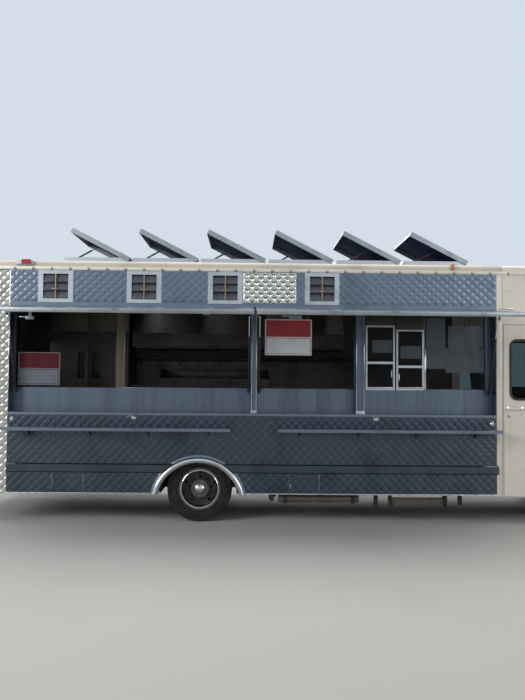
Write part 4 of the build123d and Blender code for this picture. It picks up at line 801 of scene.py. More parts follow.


# %% [markdown]
# ### Eaves, pillar strips and skirt
#
# A pale flange clamps the roof cap to the walls, with a bolt every 230 mm; the dark disc under
# each bolt is its painted shadow. Cream strips cover the joint between the kitchen body and the
# cab. A flat flange runs round the rear wheel arch, wider at its top. A short gutter keeps rain
# off the cab door.

# %% Long trim on both sides
EAVES_BOLTS = evenly(-2564, 4566, 230)
PILLAR = (SKIRT, 3130)
ARCH_FLANGE = ((0.2, 560), (0.2, 600), (3, 600), (5.2, 596), (5.2, 560), (0.2, 560))
for side, which in SIDES:
    out = (0, side, 0)
    flange = side_bar((CORNER_REAR, 4700), (0.2, 8), (3131, 3172), 2, side)
    settle(flange, f"eaves_flange_{which}", cream_paint)
    heads = [side_point(x, 8, 3147, side) for x in EAVES_BOLTS]
    # Dark discs under the bolts: painted shadow.
    rivets(heads, out, 17, f"eaves_bolt_shadows_{which}", material=seal_rubber, rise=0.15, tip=0.9)
    rivets(heads, out, 12, f"eaves_bolts_{which}", rise=1.7, tip=0.75)
    strip = side_bar((3721, 3789), (0.2, 4), PILLAR, side=side)
    settle(strip, f"pillar_strip_{which}", cream_paint)
    seam = side_bar((3789.5, 3793), (0.2, 1.5), PILLAR, 0.4, side)
    settle(seam, f"pillar_seam_{which}", seal_rubber)
    heads = [side_point(x, 4, z, side) for x in (3732, 3778) for z in evenly(380, 3100, 90)]
    rivets(heads, out, 5, f"pillar_rivets_{which}")
    angles = [side_bar(x, (0.2, 3), (351, 366), 0.8, side)
              for x in ((CORNER_REAR, -606), (576, 3719))]
    settle(angles, f"skirt_angle_{which}", aluminium)
    band = arch_band(ARCH_FLANGE, side, ARCH_X, 235)
    settle(band, f"rear_arch_flange_{which}", brushed_steel)
    gutter = [side_bar((3752, 3934), off, z, side=side)
              for off, z in (((0.2, 14), (2694, 2698)), ((11, 14), (2694, 2708)))]
    settle(gutter, f"door_gutter_{which}", rivet_steel)
    seam = side_bar((CORNER_REAR, CLAD_REAR - 2), (0.2, 2.2), (WALL_TOP, 3131), 0.3, side)
    settle(seam, f"corner_seam_{which}", seal_rubber)
print("eaves bolts every", round(EAVES_BOLTS[1] - EAVES_BOLTS[0], 1), "mm")

# %% [markdown]
# ### Marker lamps
#
# Small clearance lamps sit in streamlined housings at the edge of the roof: red at the back,
# amber towards the front. The tail lamps and turn signals get their lens colours here too.

# %% Marker lamps and lens colours
lamp_base = surface("painted_lamp_base", "#9AA3AD", "#7F8891", 0.3, 0.4, 80, 0.5, 4, 0.04)
for side, which in SIDES:
    for end, x, z in (("rear", (-2311, -2085), (3182, 3238)), ("front", (3133, 3187), (3186, 3238))):
        settle(side_bar(x, (4, 30), z, 12, side), f"marker_base_{which}_{end}", lamp_base)


def on_nose_ring(place, off, reach):
    """Whether a place is on the nose and within reach of a distance to either side."""
    return place.x > nose - MM and abs(abs(place.y - middle) - off) < reach


turn_off = half_width - 0.320
paint("lamps", red_lens, lambda place, normal: place.z > 3.1 and place.x < 0)
paint("lamps", amber_lens, lambda place, normal: place.z > 3.1 and place.x > 0)
paint("lamps", red_lens, lambda place, normal: place.x < rear_face and place.z < 0.96)
paint("lamps", amber_lens, lambda place, normal: place.x < rear_face and 0.97 < place.z < 1.2)
paint("lamps", amber_lens, lambda place, normal: on_nose_ring(place, turn_off, 0.05))

# %% [markdown]
# ## Louvre vents
#
# Each vent has a bright frame with a screw at every corner, three overlapping dark slats with
# black strips below them as painted shade in the gaps, and a brass crank bar with a small wing
# knob. All faces inside the opening are painted dark: the slats' own dark grey, and painted shade
# on the inner faces of the sleeve.

# %% Vent details
# Painted dark: the slats' own grey, and painted shade on the sleeve inside the opening.
slats_and_sleeve_shade = surface("vent_slats_and_painted_shade", "#56565E", "#3F4048", 0.5, 0.38, 120, 0.6, 4, 0.05)
crank_brass = surface("dull_brass", "#B39C7C", "#8F7B60", 0.7, 0.36, 70, 0.6, 4, 0.04)
VENT_REACH = 0.1575
OUTWARDS = (0, -1, 0)


def in_vent(place, x, reach):
    """Whether a place is in a vent's opening, within reach of its upright middle line."""
    return abs(place.x - along(x)) < reach and abs(place.z - VENT_Z * MM) < VENT_REACH


for number, x in enumerate(VENTS, start=1):
    paint("vents", slats_and_sleeve_shade, lambda place, normal: (
        in_vent(place, x, VENT_REACH) and place.y > service + 0.001))
    paint("vents", crank_brass, lambda place, normal: (
        in_vent(place, x, 0.02) and place.y < service - 0.0005))
    screws = [side_point(x + a, 6, VENT_Z + b) for a in (-188, 188) for b in (-172, 0, 172)]
    rivets(screws, OUTWARDS, 7, f"vent_screws_{number}")
    crank = [rod(side_point(x, 12, 2890), side_point(x, 34, 2890), 7, sides=12),
             side_bar((x - 34, x + 34), (26, 34), (2884, 2896), 3)]
    settle(crank, f"vent_crank_{number}", crank_brass)
    # Black strips in the gaps below the slats: painted shade.
    gaps = [side_bar((x - 156, x + 156), (-6, 2), (z - 4, z + 4), 0.8)
            for z in (VENT_Z - 152, VENT_Z - 51, VENT_Z + 51)]
    settle(gaps, f"vent_gap_shade_{number}", strut_black)

# %% [markdown]
# ## Service recess
#
# The posts stand on small foot brackets, and thin bright strips on their edges are painted
# highlights. A tan panel covers the wall between the first two windows. Black gaskets hold the
# large panes. Dark panels round the sliding panes are painted shade. Round catches and strikers
# for the awnings sit on the wall, and three small lamp housings hang below the header.

# %% Recess trim
PANE = -190  # the recess's back wall, out from the serving side


def border(x, out, z, band):
    """Four strips round a rectangle on the serving side."""
    (x0, x1), (z0, z1) = x, z
    return joined([side_bar(across, out, up, 0.6) for across, up in (
        ((x0 - band, x1 + band), (z0 - band, z0)), ((x0 - band, x1 + band), (z1, z1 + band)),
        ((x0 - band, x0), z), ((x1, x1 + band), z))])


settle(side_bar((-1094, -976), (PANE, -187.5), (1669, 2623)), "tan_column_panel", post_tan)
# Bright strips on the posts' edges: painted highlights.
edges, feet = [], []
for low, high in ((635, 701), (1956, 2061)):
    edges += [side_bar((x, x + 7), (-50, -47), (1357, 2648)) for x in (low, high - 7)]
    feet += [side_bar((low - 12, high + 12), (-49, -16), (1355.5, 1360)),
             side_bar((low - 2, high + 2), (-50, -46), (1357, 1392))]
settle(edges, "post_edge_painted_highlights", bright_trim)
settle(feet, "post_foot_brackets", aluminium)
gaskets = [border(x, (PANE, -186), z, 9)
           for x, z in (((-2350, -1095), (1667, 2612)), ((2870, 3625), (1681, 2612)))]
settle(gaskets, "pane_gaskets", seal_rubber)
openings = [border(x, (PANE, -187), (1667, 2612), 14) for x in ((-975, 620), (715, 1950))]
settle(openings, "serving_window_edges", apron_steel)
# Dark panels round the sliding panes: painted shade.
panels = [side_bar(x, (PANE, -188.5), z, 0.4) for x, z in (
    ((2063, 2102), (1662, 2646)), ((2464, 2496), (1662, 2646)),
    ((2102, 2464), (2480, 2646)), ((2496, 2842), (2430, 2646)))]
settle(panels, "window_panels_painted_shade", recess_shade_panel)
settle(side_bar((2847, 2868), (PANE, -174), (1672, 2178)), "bright_mullion", bright_trim)
sashes = [side_bar(x, (-196, -191), (1683, 1697)) for x in ((2120, 2446), (2514, 2820))]
sashes += [side_bar((x, x + 14), (-203, PANE), (z, z + 90), 3)
           for x, z in ((2424, 1820), (2520, 1780))]
settle(sashes, "sash_tracks_and_pulls", aluminium)

# %% Catches, strikers and lamps of the recess
CATCH = ((0.2, 0), (0.2, 30), (5, 30), (8, 27), (8, 16), (13, 14), (15, 0))
for number, (x, z) in enumerate(((-2331, 1268), (3663, 1249)), start=1):
    disc = turned(CATCH, side_point(x, 3, z), way=-1, steps=32)
    settle(disc, f"round_catch_{number}", chrome)
for number, x in enumerate((-822, 2197), start=1):
    keeper = [side_bar((x - 26, x + 26), (1, 6), (1276, 1305)),
              side_bar((x - 14, x + 14), (5, 16), (1294, 1304), 2)]
    settle(keeper, f"awning_striker_{number}", rivet_steel)
RECESS_LAMPS = (((-2212, -2111), (2515, 2555)), ((15, 104), (2594, 2629)),
                ((1105, 1271), (2558, 2600)))
for number, (x, z) in enumerate(RECESS_LAMPS, start=1):
    (low, high), mid = z, sum(x) / 2
    hanger = side_bar((mid - 20, mid + 20), (-109, -101), (high - 4, 2650), 2)
    shell = side_bar(x, (-134, -76), z, 4)
    settle([hanger, shell], f"recess_lamp_{number}", lamp_base)
    feed = side_bar((x[0] - 90, x[0] + 4), (-112, -98), (high - 16, high - 3), 3)
    settle(feed, f"recess_lamp_feed_{number}", rivet_steel)
    lens = side_bar((x[0] + 10, x[1] - 10), (-126, -84), (low - 8, low + 4), 4)
    settle(lens, f"recess_lamp_lens_{number}", post_tan)

# %% [markdown]
# ### Blank boards and sheets
#
# Two sign boards stay without lettering: a white border, a red upper half and a white lower
# half. One stands behind the first pane and one hangs in the third window on two wires. Plain
# sheets of paper are taped inside the front panes, painted grey as the shade behind the glass.


# %% Boards and sheets
def blank_board(x, out, z, name):
    """Board with rounded corners in three pieces: back, red half and the line below it."""
    mid, face, front = sum(z) / 2, (x[0] + 13, x[1] - 13), out + 1.2
    settle(side_panel(x, out, z, 14, 5), f"{name}_back", paper_white)
    red = side_panel(face, front, (mid + 6, z[1] - 10), 6, 1)
    settle(red, f"{name}_red_half", sign_board)
    line = side_panel(face, front, (z[0] + 15, mid - 7), 6, 1, band=6)
    settle(line, f"{name}_red_line", sign_board)


blank_board((-2330, -1800), -207, (1686, 2104), "blank_board_rear")
blank_board((806, 1404), -196, (2093, 2553), "blank_board_front")
wires = [rod(side_point(x, -198, 2545), side_point(x, -198, 2627), 1.2, sides=8)
         for x in (850, 1360)]
settle(wires, "board_wires", rivet_steel)
SHEETS = (
    # x limits, out from the wall, z limits
    ((2880, 3125), -207, (1937, 2592)), ((3164, 3408), -208, (2200, 2491)),
    ((3411, 3622), -207, (2202, 2493)), ((3128, 3614), -207, (1890, 2205)),
    ((2186, 2441), -207, (2139, 2302)), ((2548, 2816), -207, (2065, 2228)),
)
# The taped sheets are painted grey as shade.
pages = [side_panel(x, out, z, 0, 0.8) for x, out, z in SHEETS]
settle(pages, "blank_sheets", shaded_paper, smooth=0)
tapes = [side_bar((low, low + 34), (out, out + 0.4), (z[1] - 8, z[1] + 10), 0)
         for x, out, z in SHEETS for low in (x[0] + 10, x[1] - 44)]
settle(tapes, "sheet_tapes", post_tan, smooth=0)

# %% [markdown]
# ## Awnings
#
# The two long doors of the service opening are skinned like the wall, so that the side is
# quilted right through when they are shut. The sheet is pressed flat, then laid on the open
# door's own slope. A channel closes the free edge.

# %% Skins of the awnings and access doors
AWNING_SLOPE = math.radians(6.5)
HINGE_Z, HINGE_OUT = 2682, 6
CHANNEL = (
    # towards the hinge, off the outer face: web and two lips
    ((-1.3215, -1.3195), (-0.0485, -0.0055)), ((-1.3205, -1.296), (-0.0495, -0.048)),
    ((-1.3205, -1.306), (-0.0062, -0.0048)),
)
for which, low, high in (("rear", -2375, 655.5), ("front", 680.5, 3710)):
    body, wide = f"awning_{which}", high - low
    place = Matrix.Translation(side_point(low, HINGE_OUT, HINGE_Z)) @ Matrix.Rotation(
        AWNING_SLOPE, 4, "X")
    sheet = cut(quilted(wide - 8, 1262, diamond=100, puff=2.6), sheet=1)
    sheet.data.transform(place @ Matrix.Translation((4 * MM, -1.316, -5 * MM)))
    settle(sheet, f"awning_skin_{which}", quilted_steel, body)
    rim = joined([bar((MM, y[0], z[0]), (wide * MM - MM, y[1], z[1]), 0.5) for y, z in CHANNEL])
    rim.data.transform(place)
    settle(rim, f"awning_edge_{which}", lid_metal, body)
    paint(body, chrome, lambda place, normal: place.y < service - 1.323)

# The access doors get the painted shade of the lower sheet.
for which, (low, high) in zip(("rear", "front"), ACCESS):
    body = f"access_door_{which}"
    sheet = clad((low + 13, high - 13), (369, 590), sheet=1, puff=2.6)
    settle(sheet, f"access_quilt_{which}", shelf_shaded_steel, body)
    paint(body, shelf_shaded_steel, lambda place, normal: True)
    strips = [side_bar(x, (OFF_WALL, 4.6), z) for x, z in (
        ((low - 8, high + 10), (606, 615)), ((high + 1, high + 10), (356, 606)),
        ((low - 17, low - 8), (356, 615)))]
    settle(strips, f"access_frame_{which}", galvanised)
    screws = [side_point(low + x, 4, z) for z in (406, 553) for x in (20, 40)]
    rivets(screws, OUTWARDS, 4, f"access_screws_{which}", body)

# %% [markdown]
# ## Street side, back and roof
#
# The far side is one quilted field above and below its rub rail. The back has a quilted sheet
# round the door, which has its own sheet, a window in a rubber seal, and a plate without
# lettering. Patterned rubber lies on the step.

# %% Quilted sheets out of the photo
far = clad((CORNER_REAR, CLAD_FRONT), (SKIRT, WALL_TOP), [arch_hole(1, 72)], 1, 1, diamond=114,
           puff=3.4)
settle(far, "quilted_street_side", quilted_steel)


def back_sheet(y, z, holes, **press):
    """Quilted sheet on the back between pairs of limits."""
    made = quilted(y[1] - y[0], z[1] - z[0], **press)
    return cut(stand(made, spot(-OFF_WALL, y[1], z[0], rear_face), -math.pi / 2), holes, 1)


TAIL_LAMPS = (("stop", 900, 55), ("turn", 1040, 45))
TAIL_OFF = 1060
WALL_OFF = half_width / MM
holes = [block((-50, 50), (-404, 404), (790, 2724), 0, rear_face)]
holes += [block((-50, 50), (y - 37, y + 37), (478, 532), 0, rear_face) for y in (-390, 390)]
holes += [rod(spot(-50, y, z, rear_face), spot(50, y, z, rear_face), radius + 3, sides=32)
          for y in (-TAIL_OFF, TAIL_OFF) for _, z, radius in TAIL_LAMPS]
back = back_sheet((4 - WALL_OFF, WALL_OFF - 4), (SKIRT, WALL_TOP), holes, diamond=100, puff=3.4)
settle(back, "quilted_back", quilted_steel)
holes = [block((-50, 50), (-250, 250), (1880, 2470), 0, rear_face)]
leaf = back_sheet((-388, 388), (812, 2708), holes, diamond=96, puff=2.8)
settle(leaf, "quilted_back_door", quilted_steel, "rear_door")


# %% Back door, lamps, step and plate
def on_end(obj, out, z, way):
    """Stands a centred panel off the nose with way 1, or off the rear wall with way -1."""
    datum = rear_face if way < 0 else nose
    return stand(obj, spot(way * out, 0, z, datum), way * math.pi / 2)


for name, panel, out, z, material in (
        ("back_window_seal", rounded(500, 590, 40, 9, band=22), 8, 2175, seal_rubber),
        ("back_window_pane", rounded(462, 552, 6, 5), -16, 2175, window_glass),
        ("blank_rear_plate", rounded(305, 155, 10, 2), 5.5, 1250, paper_white),
        ("rear_plate_frame", rounded(312, 162, 12, 3, band=8), 6.5, 1250, aluminium)):
    settle(on_end(panel, out, z, -1), name, material, "rear_door")
jambs = [block((-12, 0), y, z, 1, rear_face) for y, z in (
    ((-430, -405), (810, 2750)), ((412, 437), (810, 2750)), ((-430, 437), (2725, 2750)))]
settle(jambs, "back_door_frame", aluminium)


def lamp_ring(profile, centre, radius, way, steps, name):
    """Chromed ring that faces forwards or backwards, its radii given as shares."""
    shape = [(off, radius * share) for off, share in profile]
    settle(turned(shape, centre, way, steps, "X"), name, chrome)


BEZEL = ((0.2, 0.86), (0.2, 1.24), (12, 1.16), (16, 1.04), (12, 0.98), (4, 0.98), (4, 0.86))
for side, which in SIDES:
    for lens, z, radius in TAIL_LAMPS:
        centre = spot(0, side * TAIL_OFF, z, rear_face)
        lamp_ring(BEZEL, centre, radius, -1, 40, f"rear_{lens}_bezel_{which}")
rib = block((-143, -7), (-1050, -1038), (529, 534), 1.5, rear_face)
ribs = copied(rib, [Matrix.Translation((0, 0.03 * number, 0))
                    for number in range(1, 71) if number != 35])
settle(ribs, "rear_step_ribs", seal_rubber)
posts = [block((-4.5, 30), sorted((side * (WALL_OFF + 4.5), side * (WALL_OFF - 30))), (SKIRT, 3128), 2,
               rear_face) for side, _ in SIDES]
settle(posts, "rear_corner_posts", aluminium)

# %% Roof seams, lids and curbs
ROOF_SEAMS = (-2000, -966, -56, 854, 1764, 2674, 3600)
HATCH_FIRST, HATCH_PITCH, HATCH_LEAN = -1876, 910, math.radians(27)


def roof_height(off):
    """Height of the crowned roof at a distance off the middle."""
    return 3250 + 42 * (1 - (off / 1135) ** 2)


seams = []
for x in ROOF_SEAMS:
    for first in range(-1120, 1120, 280):
        last = first + 280
        between_hatches = -1976 < x < 3650
        if not between_hatches or abs(first + last) / 2 >= 700:
            seams.append(rod(spot(x, first, roof_height(first) + 1),
                             spot(x, last, roof_height(last) + 1), 8, sides=8))
settle(seams, "roof_seams", roof_paint)
for number in range(1, 7):
    x = HATCH_FIRST + (number - 1) * HATCH_PITCH
    body = f"hatch_lid_{number}"
    hinge = Matrix.Translation(spot(x + 850, 0, 3340)) @ Matrix.Rotation(HATCH_LEAN, 4, "Y")
    pressing = [bar((-0.81, -0.5, 0.0645), (-0.06, 0.5, 0.069), 3)]
    pressing += [bar((-0.81 + 0.22 * i, -0.47, 0.068), (-0.79 + 0.22 * i, 0.47, 0.074), 3)
                 for i in range(1, 4)]
    top = joined(pressing)
    top.data.transform(hinge)
    settle(top, f"hatch_pressing_{number}", lid_metal, body)
    heads = [hinge @ Vector((a, b, 0.065)) for a in evenly(-0.85, -0.018, 0.14)
             for b in (-0.545, 0.545)]
    rivets(heads, hinge.to_3x3() @ Vector((0, 0, 1)), 6, f"hatch_rivets_{number}", body)
    knob = rod(spot(x + 22, -549, 3303), spot(x + 22, -572, 3303), 11, sides=14, tip=8)
    settle(knob, f"hatch_knob_{number}", paper_white)
    flange = [block((x - 20, x + 852), (y - 20, y + 20), (3278, 3282)) for y in (-560, 560)]
    settle(flange, f"curb_flange_{number}", aluminium)

# %% [markdown]
# ## Cab
#
# The nose slopes back above the cowl, so the windshield's seals and wipers are made flat and then
# laid on that slope. The door glass and its seals ride on the doors. What cannot be seen in the
# photograph is the usual equipment of a step van: round head lamps, small clearance lamps above
# the windshield and a plain plate without lettering.

# %% Windshield
SHIELD_LEAN = math.atan2(240, 1140)
SHIELD_HALF = 527.5


def on_shield(obj, y, out=0.0):
    """Lays a flat piece made about the origin on a half of the windshield, out off its face."""
    upright = Matrix.Rotation(math.pi / 2 - SHIELD_LEAN, 4, "X")
    turn = Matrix.Rotation(math.pi / 2, 4, "Z") @ upright
    centre = Matrix.Translation(spot(5685.3, y, 2105))
    obj.data.transform(centre @ turn @ Matrix.Translation((0, 0, out * MM)))
    return obj


rubber, wipers = [], []
for y in (-SHIELD_HALF, SHIELD_HALF):
    rubber.append(on_shield(rounded(993, 958, 60, 14, band=24), y, 7))
    arm = bar((-0.012, -0.51, 0.016), (0.012, -0.06, 0.026), 3)
    blade = bar((-0.011, -0.30, -0.002), (0.011, 0.20, 0.014), 3)
    pivot = rod((0, -0.50, 0.0), (0, -0.50, 0.034), 22, sides=20, tip=16)
    wiper = joined([arm, blade, pivot])
    wiper.data.transform(Matrix.Rotation(math.radians(-24), 4, "Z"))
    wipers.append(on_shield(wiper, y + 60, 2))
settle(rubber, "windshield_seals", seal_rubber)
settle(wipers, "windshield_wipers", strut_black)
pillar = on_shield(bar((-0.011, -0.47, 0.0), (0.011, 0.47, 0.006), 2), 0)
settle(pillar, "windshield_pillar_strip", aluminium)

# %% Nose: lamps, grille and bumper
headlamp = surface("headlamp_reflector", "#D3DADF", "#BCC4C9", 0.85, 0.12, 60, 0.4, 14, 0.3)
paint("lamps", headlamp, lambda place, normal: on_nose_ring(place, 0.64, 0.099))
LAMP_RIM = ((0.2, 1.02), (0.2, 1.34), (14, 1.3), (26, 1.18), (28, 1.06), (16, 1.02))
FLUTES = ((-60, 55), (-30, 75), (0, 80), (30, 75), (60, 55))
HEAD_OFF, LAMP_Z = 640, 1000
for side, which in SIDES:
    for name, y, radius in (("head", HEAD_OFF, 95), ("turn", 860, 45)):
        centre = spot(0, side * y, LAMP_Z, nose)
        lamp_ring(LAMP_RIM, centre, radius, 1, 48, f"{name}_lamp_rim_{which}")
    flutes = []
    for off, reach in FLUTES:
        y = side * HEAD_OFF + off
        flutes.append(block((30, 41), (y - 2, y + 2), (LAMP_Z - reach, LAMP_Z + reach), 1, nose))
    settle(flutes, f"head_lamp_flutes_{which}", lamp_glass)
settle(block((-60, -45), (-410, 410), (770, 1230), 1, nose), "radiator_core", cab_plastic)
fin = block((-46, -40), (-392, -388), (775, 1225), 0, nose)
settle(row(fin, (0, 20, 0), 40), "radiator_fins", cast_iron, smooth=0)
plate = on_end(rounded(305, 155, 10, 2), 32, 712, 1)
settle(plate, "blank_front_plate", paper_white)
rivets([spot(32, y, 760, nose) for y in (-89, 89)], (1, 0, 0), 8, "front_plate_screws")
straps = [block((24, 30), (y - 14, y + 14), (628, 775), 1, nose) for y in (-89, 89)]
settle(straps, "front_plate_straps", galvanised)
rivets([spot(45, y, 630, nose) for y in (-450, -330, 330, 450)], (0, 0, 1), 13, "bumper_bolts")

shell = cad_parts["cab_shell"]
for number, y in enumerate((-1050, -350, 0, 350, 1050), start=1):
    _, foot, out, _ = shell.ray_cast(spot(500, y, 2930, nose), Vector((-1, 0, 0)))
    out = out * MM
    base = rod(foot - out * 4, foot + out * 12, 40, sides=28, tip=36)
    lens = rod(foot + out * 11, foot + out * 32, 31, sides=28, tip=22)
    settle(base, f"clearance_lamp_base_{number}", rivet_steel)
    settle(lens, f"clearance_lamp_lens_{number}", amber_lens)

# %% Cab sides: doors, windows, arches and mirrors
def cab_panel(side, name, material, body, x, out, z, radius, thick, band=0):
    """Rounded panel or seal on a side of the cab."""
    settle(side_panel(x, out, z, radius, thick, band, side), name, material, body)


WHEELBASE = 5080
LIP = ((0.2, 499), (0.2, 516), (5, 514), (8, 506), (5, 499), (0.2, 499))
for side, which in SIDES:
    body = "cab_door_right" if side < 0 else "cab_door_left"
    cab_panel(side, f"door_window_seal_{which}", seal_rubber, body,
              (3882, 4468), 6, (1544, 2319), 97, 10, 30)
    cab_panel(side, f"door_window_pane_{which}", cab_glass, body,
              (3904, 4446), -18, (1566, 2297), 75, 5)
    divider = side_bar((4262, 4282), (-22, -4), (1568, 2295), 2, side)
    settle(divider, f"door_window_divider_{which}", cab_plastic, body)
    cab_panel(side, f"door_edge_seal_{which}", seal_rubber, body,
              (3811, 4539), -1, (356, 2494), 14, 5, 6)
    cab_panel(side, f"door_pressing_{which}", cream_paint, body,
              (3895, 4455), 3, (570, 1390), 40, 4, 12)
    plates = [side_bar((x - 24, x + 24), (0.2, 5), (1415, 1465), 3, side) for x in (3850, 4030)]
    lock = rod(side_point(3872, 0, 1345, side), side_point(3872, 8, 1345, side), 17, sides=24,
               tip=14)
    settle([*plates, lock], f"door_handle_plates_{which}", chrome, body)
    cab_panel(side, f"quarter_window_seal_{which}", seal_rubber, "root",
              (4680, 5370), 6, (1680, 2420), 34, 10, 26)
    settle(arch_band(LIP, side, WHEELBASE, AXLE_Z), f"front_arch_lip_{which}", seal_rubber)
    crease = side_bar((3800, 5150), (-1, 2.2), (2932, 2940), 1.5, side)
    settle(crease, f"cab_crease_{which}", cream_paint)
    rib = side_bar((3840, 3852), (-245, -60), (610, 616), 1, side)
    settle(row(rib, (28, 0, 0), 24), f"step_ribs_{which}", seal_rubber)
paint("mirrors", chrome, lambda place, normal: normal.x < -0.9 and place.x < along(5345))
knobs = [rod(side_point(5388, 125, z, side), side_point(5412, 125, z, side), 16)
         for side, _ in SIDES for z in (1720, 2190)]
settle(knobs, "mirror_knobs", strut_black)

# %% [markdown]
# ## Behind the cab's glass
#
# The steering wheel gets a round grip and the dash its dials. The driver's seat is foam under
# vinyl. A box with round edges is remeshed evenly and blown up a little as cloth under pressure,
# which rounds it as foam does. The result is applied, and a piping seam goes round it.

# %% Steering wheel
column = Matrix.Translation(spot(4960, 520, 1500)) @ Matrix.Rotation(math.radians(-30), 4, "Y")
start()
bpy.ops.mesh.primitive_torus_add(major_radius=0.216, minor_radius=0.019, major_segments=56,
                                 minor_segments=14, location=(0, 0, 0.013))
grip = bpy.context.object
bpy.ops.object.transform_apply()
horn = turned(((0, 0), (0, 62), (28, 60), (36, 48), (38, 0)), (0, 0, 0), steps=40, axis="Z")
grip.data.transform(column)
horn.data.transform(column)
settle([grip, horn], "steering_wheel_grip", cab_plastic)

# %% Seat pads
PAD_SWELL = 0.012
SEAT_OFF = 540


def pad(centre, size, lean, name):
    """Foam pad in a vinyl cover: remeshed, blown up a little as cloth, with a piping seam."""
    half = Vector(size) / 2
    made = bar(-half, half, 30, 3)
    even = made.modifiers.new("even", "REMESH")
    even.mode = "VOXEL"
    even.voxel_size = 0.014
    finish_modifiers(made)
    before = [point.co.copy() for point in made.data.vertices]
    cover = made.modifiers.new("cover", "CLOTH")
    cover.settings.use_pressure = True
    cover.settings.uniform_pressure_force = 4
    cover.settings.effector_weights.gravity = 0
    for count in range(1, 13):
        bpy.context.scene.frame_set(count)
    finish_modifiers(made)
    bpy.context.scene.frame_set(1)
    for point, rest in zip(made.data.vertices, before):
        step = point.co - rest
        point.co = rest + step * min(1, PAD_SWELL / max(step.length, 1e-6))
    made.modifiers.new("soft", "SUBSURF").levels = 1
    finish_modifiers(made)
    piping = rounded(size[0] / MM + 8, size[1] / MM + 8, 40, 6, band=10)
    place = Matrix.Translation(centre) @ Matrix.Rotation(math.radians(lean), 4, "Y")
    made.data.transform(place)
    piping.data.transform(place)
    settle(made, name, seat_vinyl, smooth=180)
    settle(piping, f"{name}_piping", seal_rubber)


pad(spot(4350, SEAT_OFF, 1307), (0.36, 0.44, 0.075), -4.5, "driver_seat_cushion")
pad(spot(4108, SEAT_OFF, 1640), (0.50, 0.44, 0.075), -98.9, "driver_seat_back")

# %% Dials and pedals
dials = [rod(spot(5424, y, 1310), spot(5408, y, 1310), 50, sides=32, tip=44)
         for y in (360, 480, 600, 720)]
settle(dials, "dash_dials", strut_black)
PEDALS = (440, 580, 720)
pedals = [block((5240, 5262), (y - 35, y + 35), (860, 980), 5) for y in PEDALS]
pedals += [rod(spot(5262, y, 940), spot(5424, y, 1180), 11, sides=12) for y in PEDALS]
settle(pedals, "foot_pedals", cast_iron)

# %% [markdown]
# ## Steel below the skirt
#
# A round tube and a long box tube hang just behind the lower edge of the service side, and only
# their lower halves show. Flat brackets carry them from the inside of the wall.

# %% Low tubes and brackets
# Dust, and painted light: the warm brown stands partly for the low sun on the steel.
dusty_sunlit_steel = surface("underframe_steel_dust_and_painted_sunlight", "#5E554A", "#3E3831", 0.1, 0.7, 220, 0.8, 7, 0.3)
low_tube = rod(side_point(985, -105, 292), side_point(1998, -105, 292), 50, sides=40, tip=46)
settle(low_tube, "skirt_tube", dusty_sunlit_steel)
settle(side_bar((2372, 3078), (-140, -80), (208, 306), 6), "skirt_box_tube", dusty_sunlit_steel)
BRACKETS = (
    # rear edge, width, lower end
    (1050, 40, 236), (1900, 40, 236), (2195, 40, 186), (2380, 30, 204), (3068, 40, 190),
    (3262, 34, 222),
)
brackets = [side_bar((x, x + wide), (-150, -50), (low, 470), 3) for x, wide, low in BRACKETS]
settle(brackets, "skirt_tube_brackets", undercoat)

# %% [markdown]
# ## Kitchen behind the windows
#
# The windows show the street side's equipment from the height of the sill up: two tall bronze
# refrigerator doors below a cupboard, the hood with its baffle filters, the griddle with its
# splash guard, a shelf and the pipes of the fire system. Its steel and lining are painted dark as
# the shade inside the body. Nothing stands on it.

# %% Refrigerators
COOK_FACE = 430
FRIDGE_DOORS = ((-2290, -1742), (-1730, -1160))
HANDLES = (-1836, -1622)
doors = [block(x, (COOK_FACE - 34, COOK_FACE), (1000, 2300), 6) for x in FRIDGE_DOORS]
doors += [block(x, (COOK_FACE - 22, COOK_FACE), (2462, 2980), 6) for x in FRIDGE_DOORS]
settle(doors, "fridge_doors", fridge_bronze)
cupboard = block((-2300, -1150), (COOK_FACE, 1120), (2452, 3000), 3)
settle(cupboard, "fridge_cupboard", shaded_kitchen_steel)
recesses = [block(x, (COOK_FACE - 37, COOK_FACE - 33), (1781, 2153), 1)
            for x in ((-1888, -1782), (-1689, -1554))]
settle(recesses, "fridge_handle_recesses", strut_black)
handles = [block((x - 9, x + 9), (COOK_FACE - 62, COOK_FACE - 50), (1800, 2130), 4)
           for x in HANDLES]
handles += [block((x - 9, x + 9), (COOK_FACE - 62, COOK_FACE - 34), (z, z + 18), 3)
            for x in HANDLES for z in (1800, 2112)]
settle(handles, "fridge_handles", shaded_kitchen_steel)
slots = [block((-2270, -1180), (COOK_FACE - 10, COOK_FACE), (z, z + 12), 2)
         for z in range(2330, 2440, 24)]
settle(slots, "fridge_grille", strut_black)

# %% Hood, griddle and shelf
HOOD = (-1102, 2002)
lip = [block(HOOD, (408, 420), (2244, 2256), 3), block(HOOD, (400, 412), (2440, 2452), 3)]
settle(lip, "hood_lip", shaded_kitchen_steel)
filter_box = block((-1060, -570), (450, 980), (2226, 2250), 3)
settle(row(filter_box, (505, 0, 0), 6), "hood_filters", shaded_kitchen_steel)
rib = block((-1045, -1031), (460, 970), (2219, 2228), 1)
settle(row(rib, (42, 0, 0), 72), "hood_filter_baffles", lining)
pipes = [rod(spot(-1080, 470, 2190), spot(1980, 470, 2190), 11, sides=12)]
pipes += [rod(spot(x, 470, 2190), spot(x, 470, 2120), 12, sides=12, tip=20)
          for x in (-500, 300, 1100, 1800)]
settle(pipes, "fire_pipe", shaded_kitchen_steel)
guard = [block(x, (y, 1012), (1780, 1930), 2)
         for x, y in (((-712, 912), 1000), ((-712, -700), 520), ((900, 912), 520))]
settle(guard, "griddle_guard", shaded_kitchen_steel)
settle(block((-690, 890), (530, 990), (1789, 1796), 2), "griddle_plate", cast_iron)
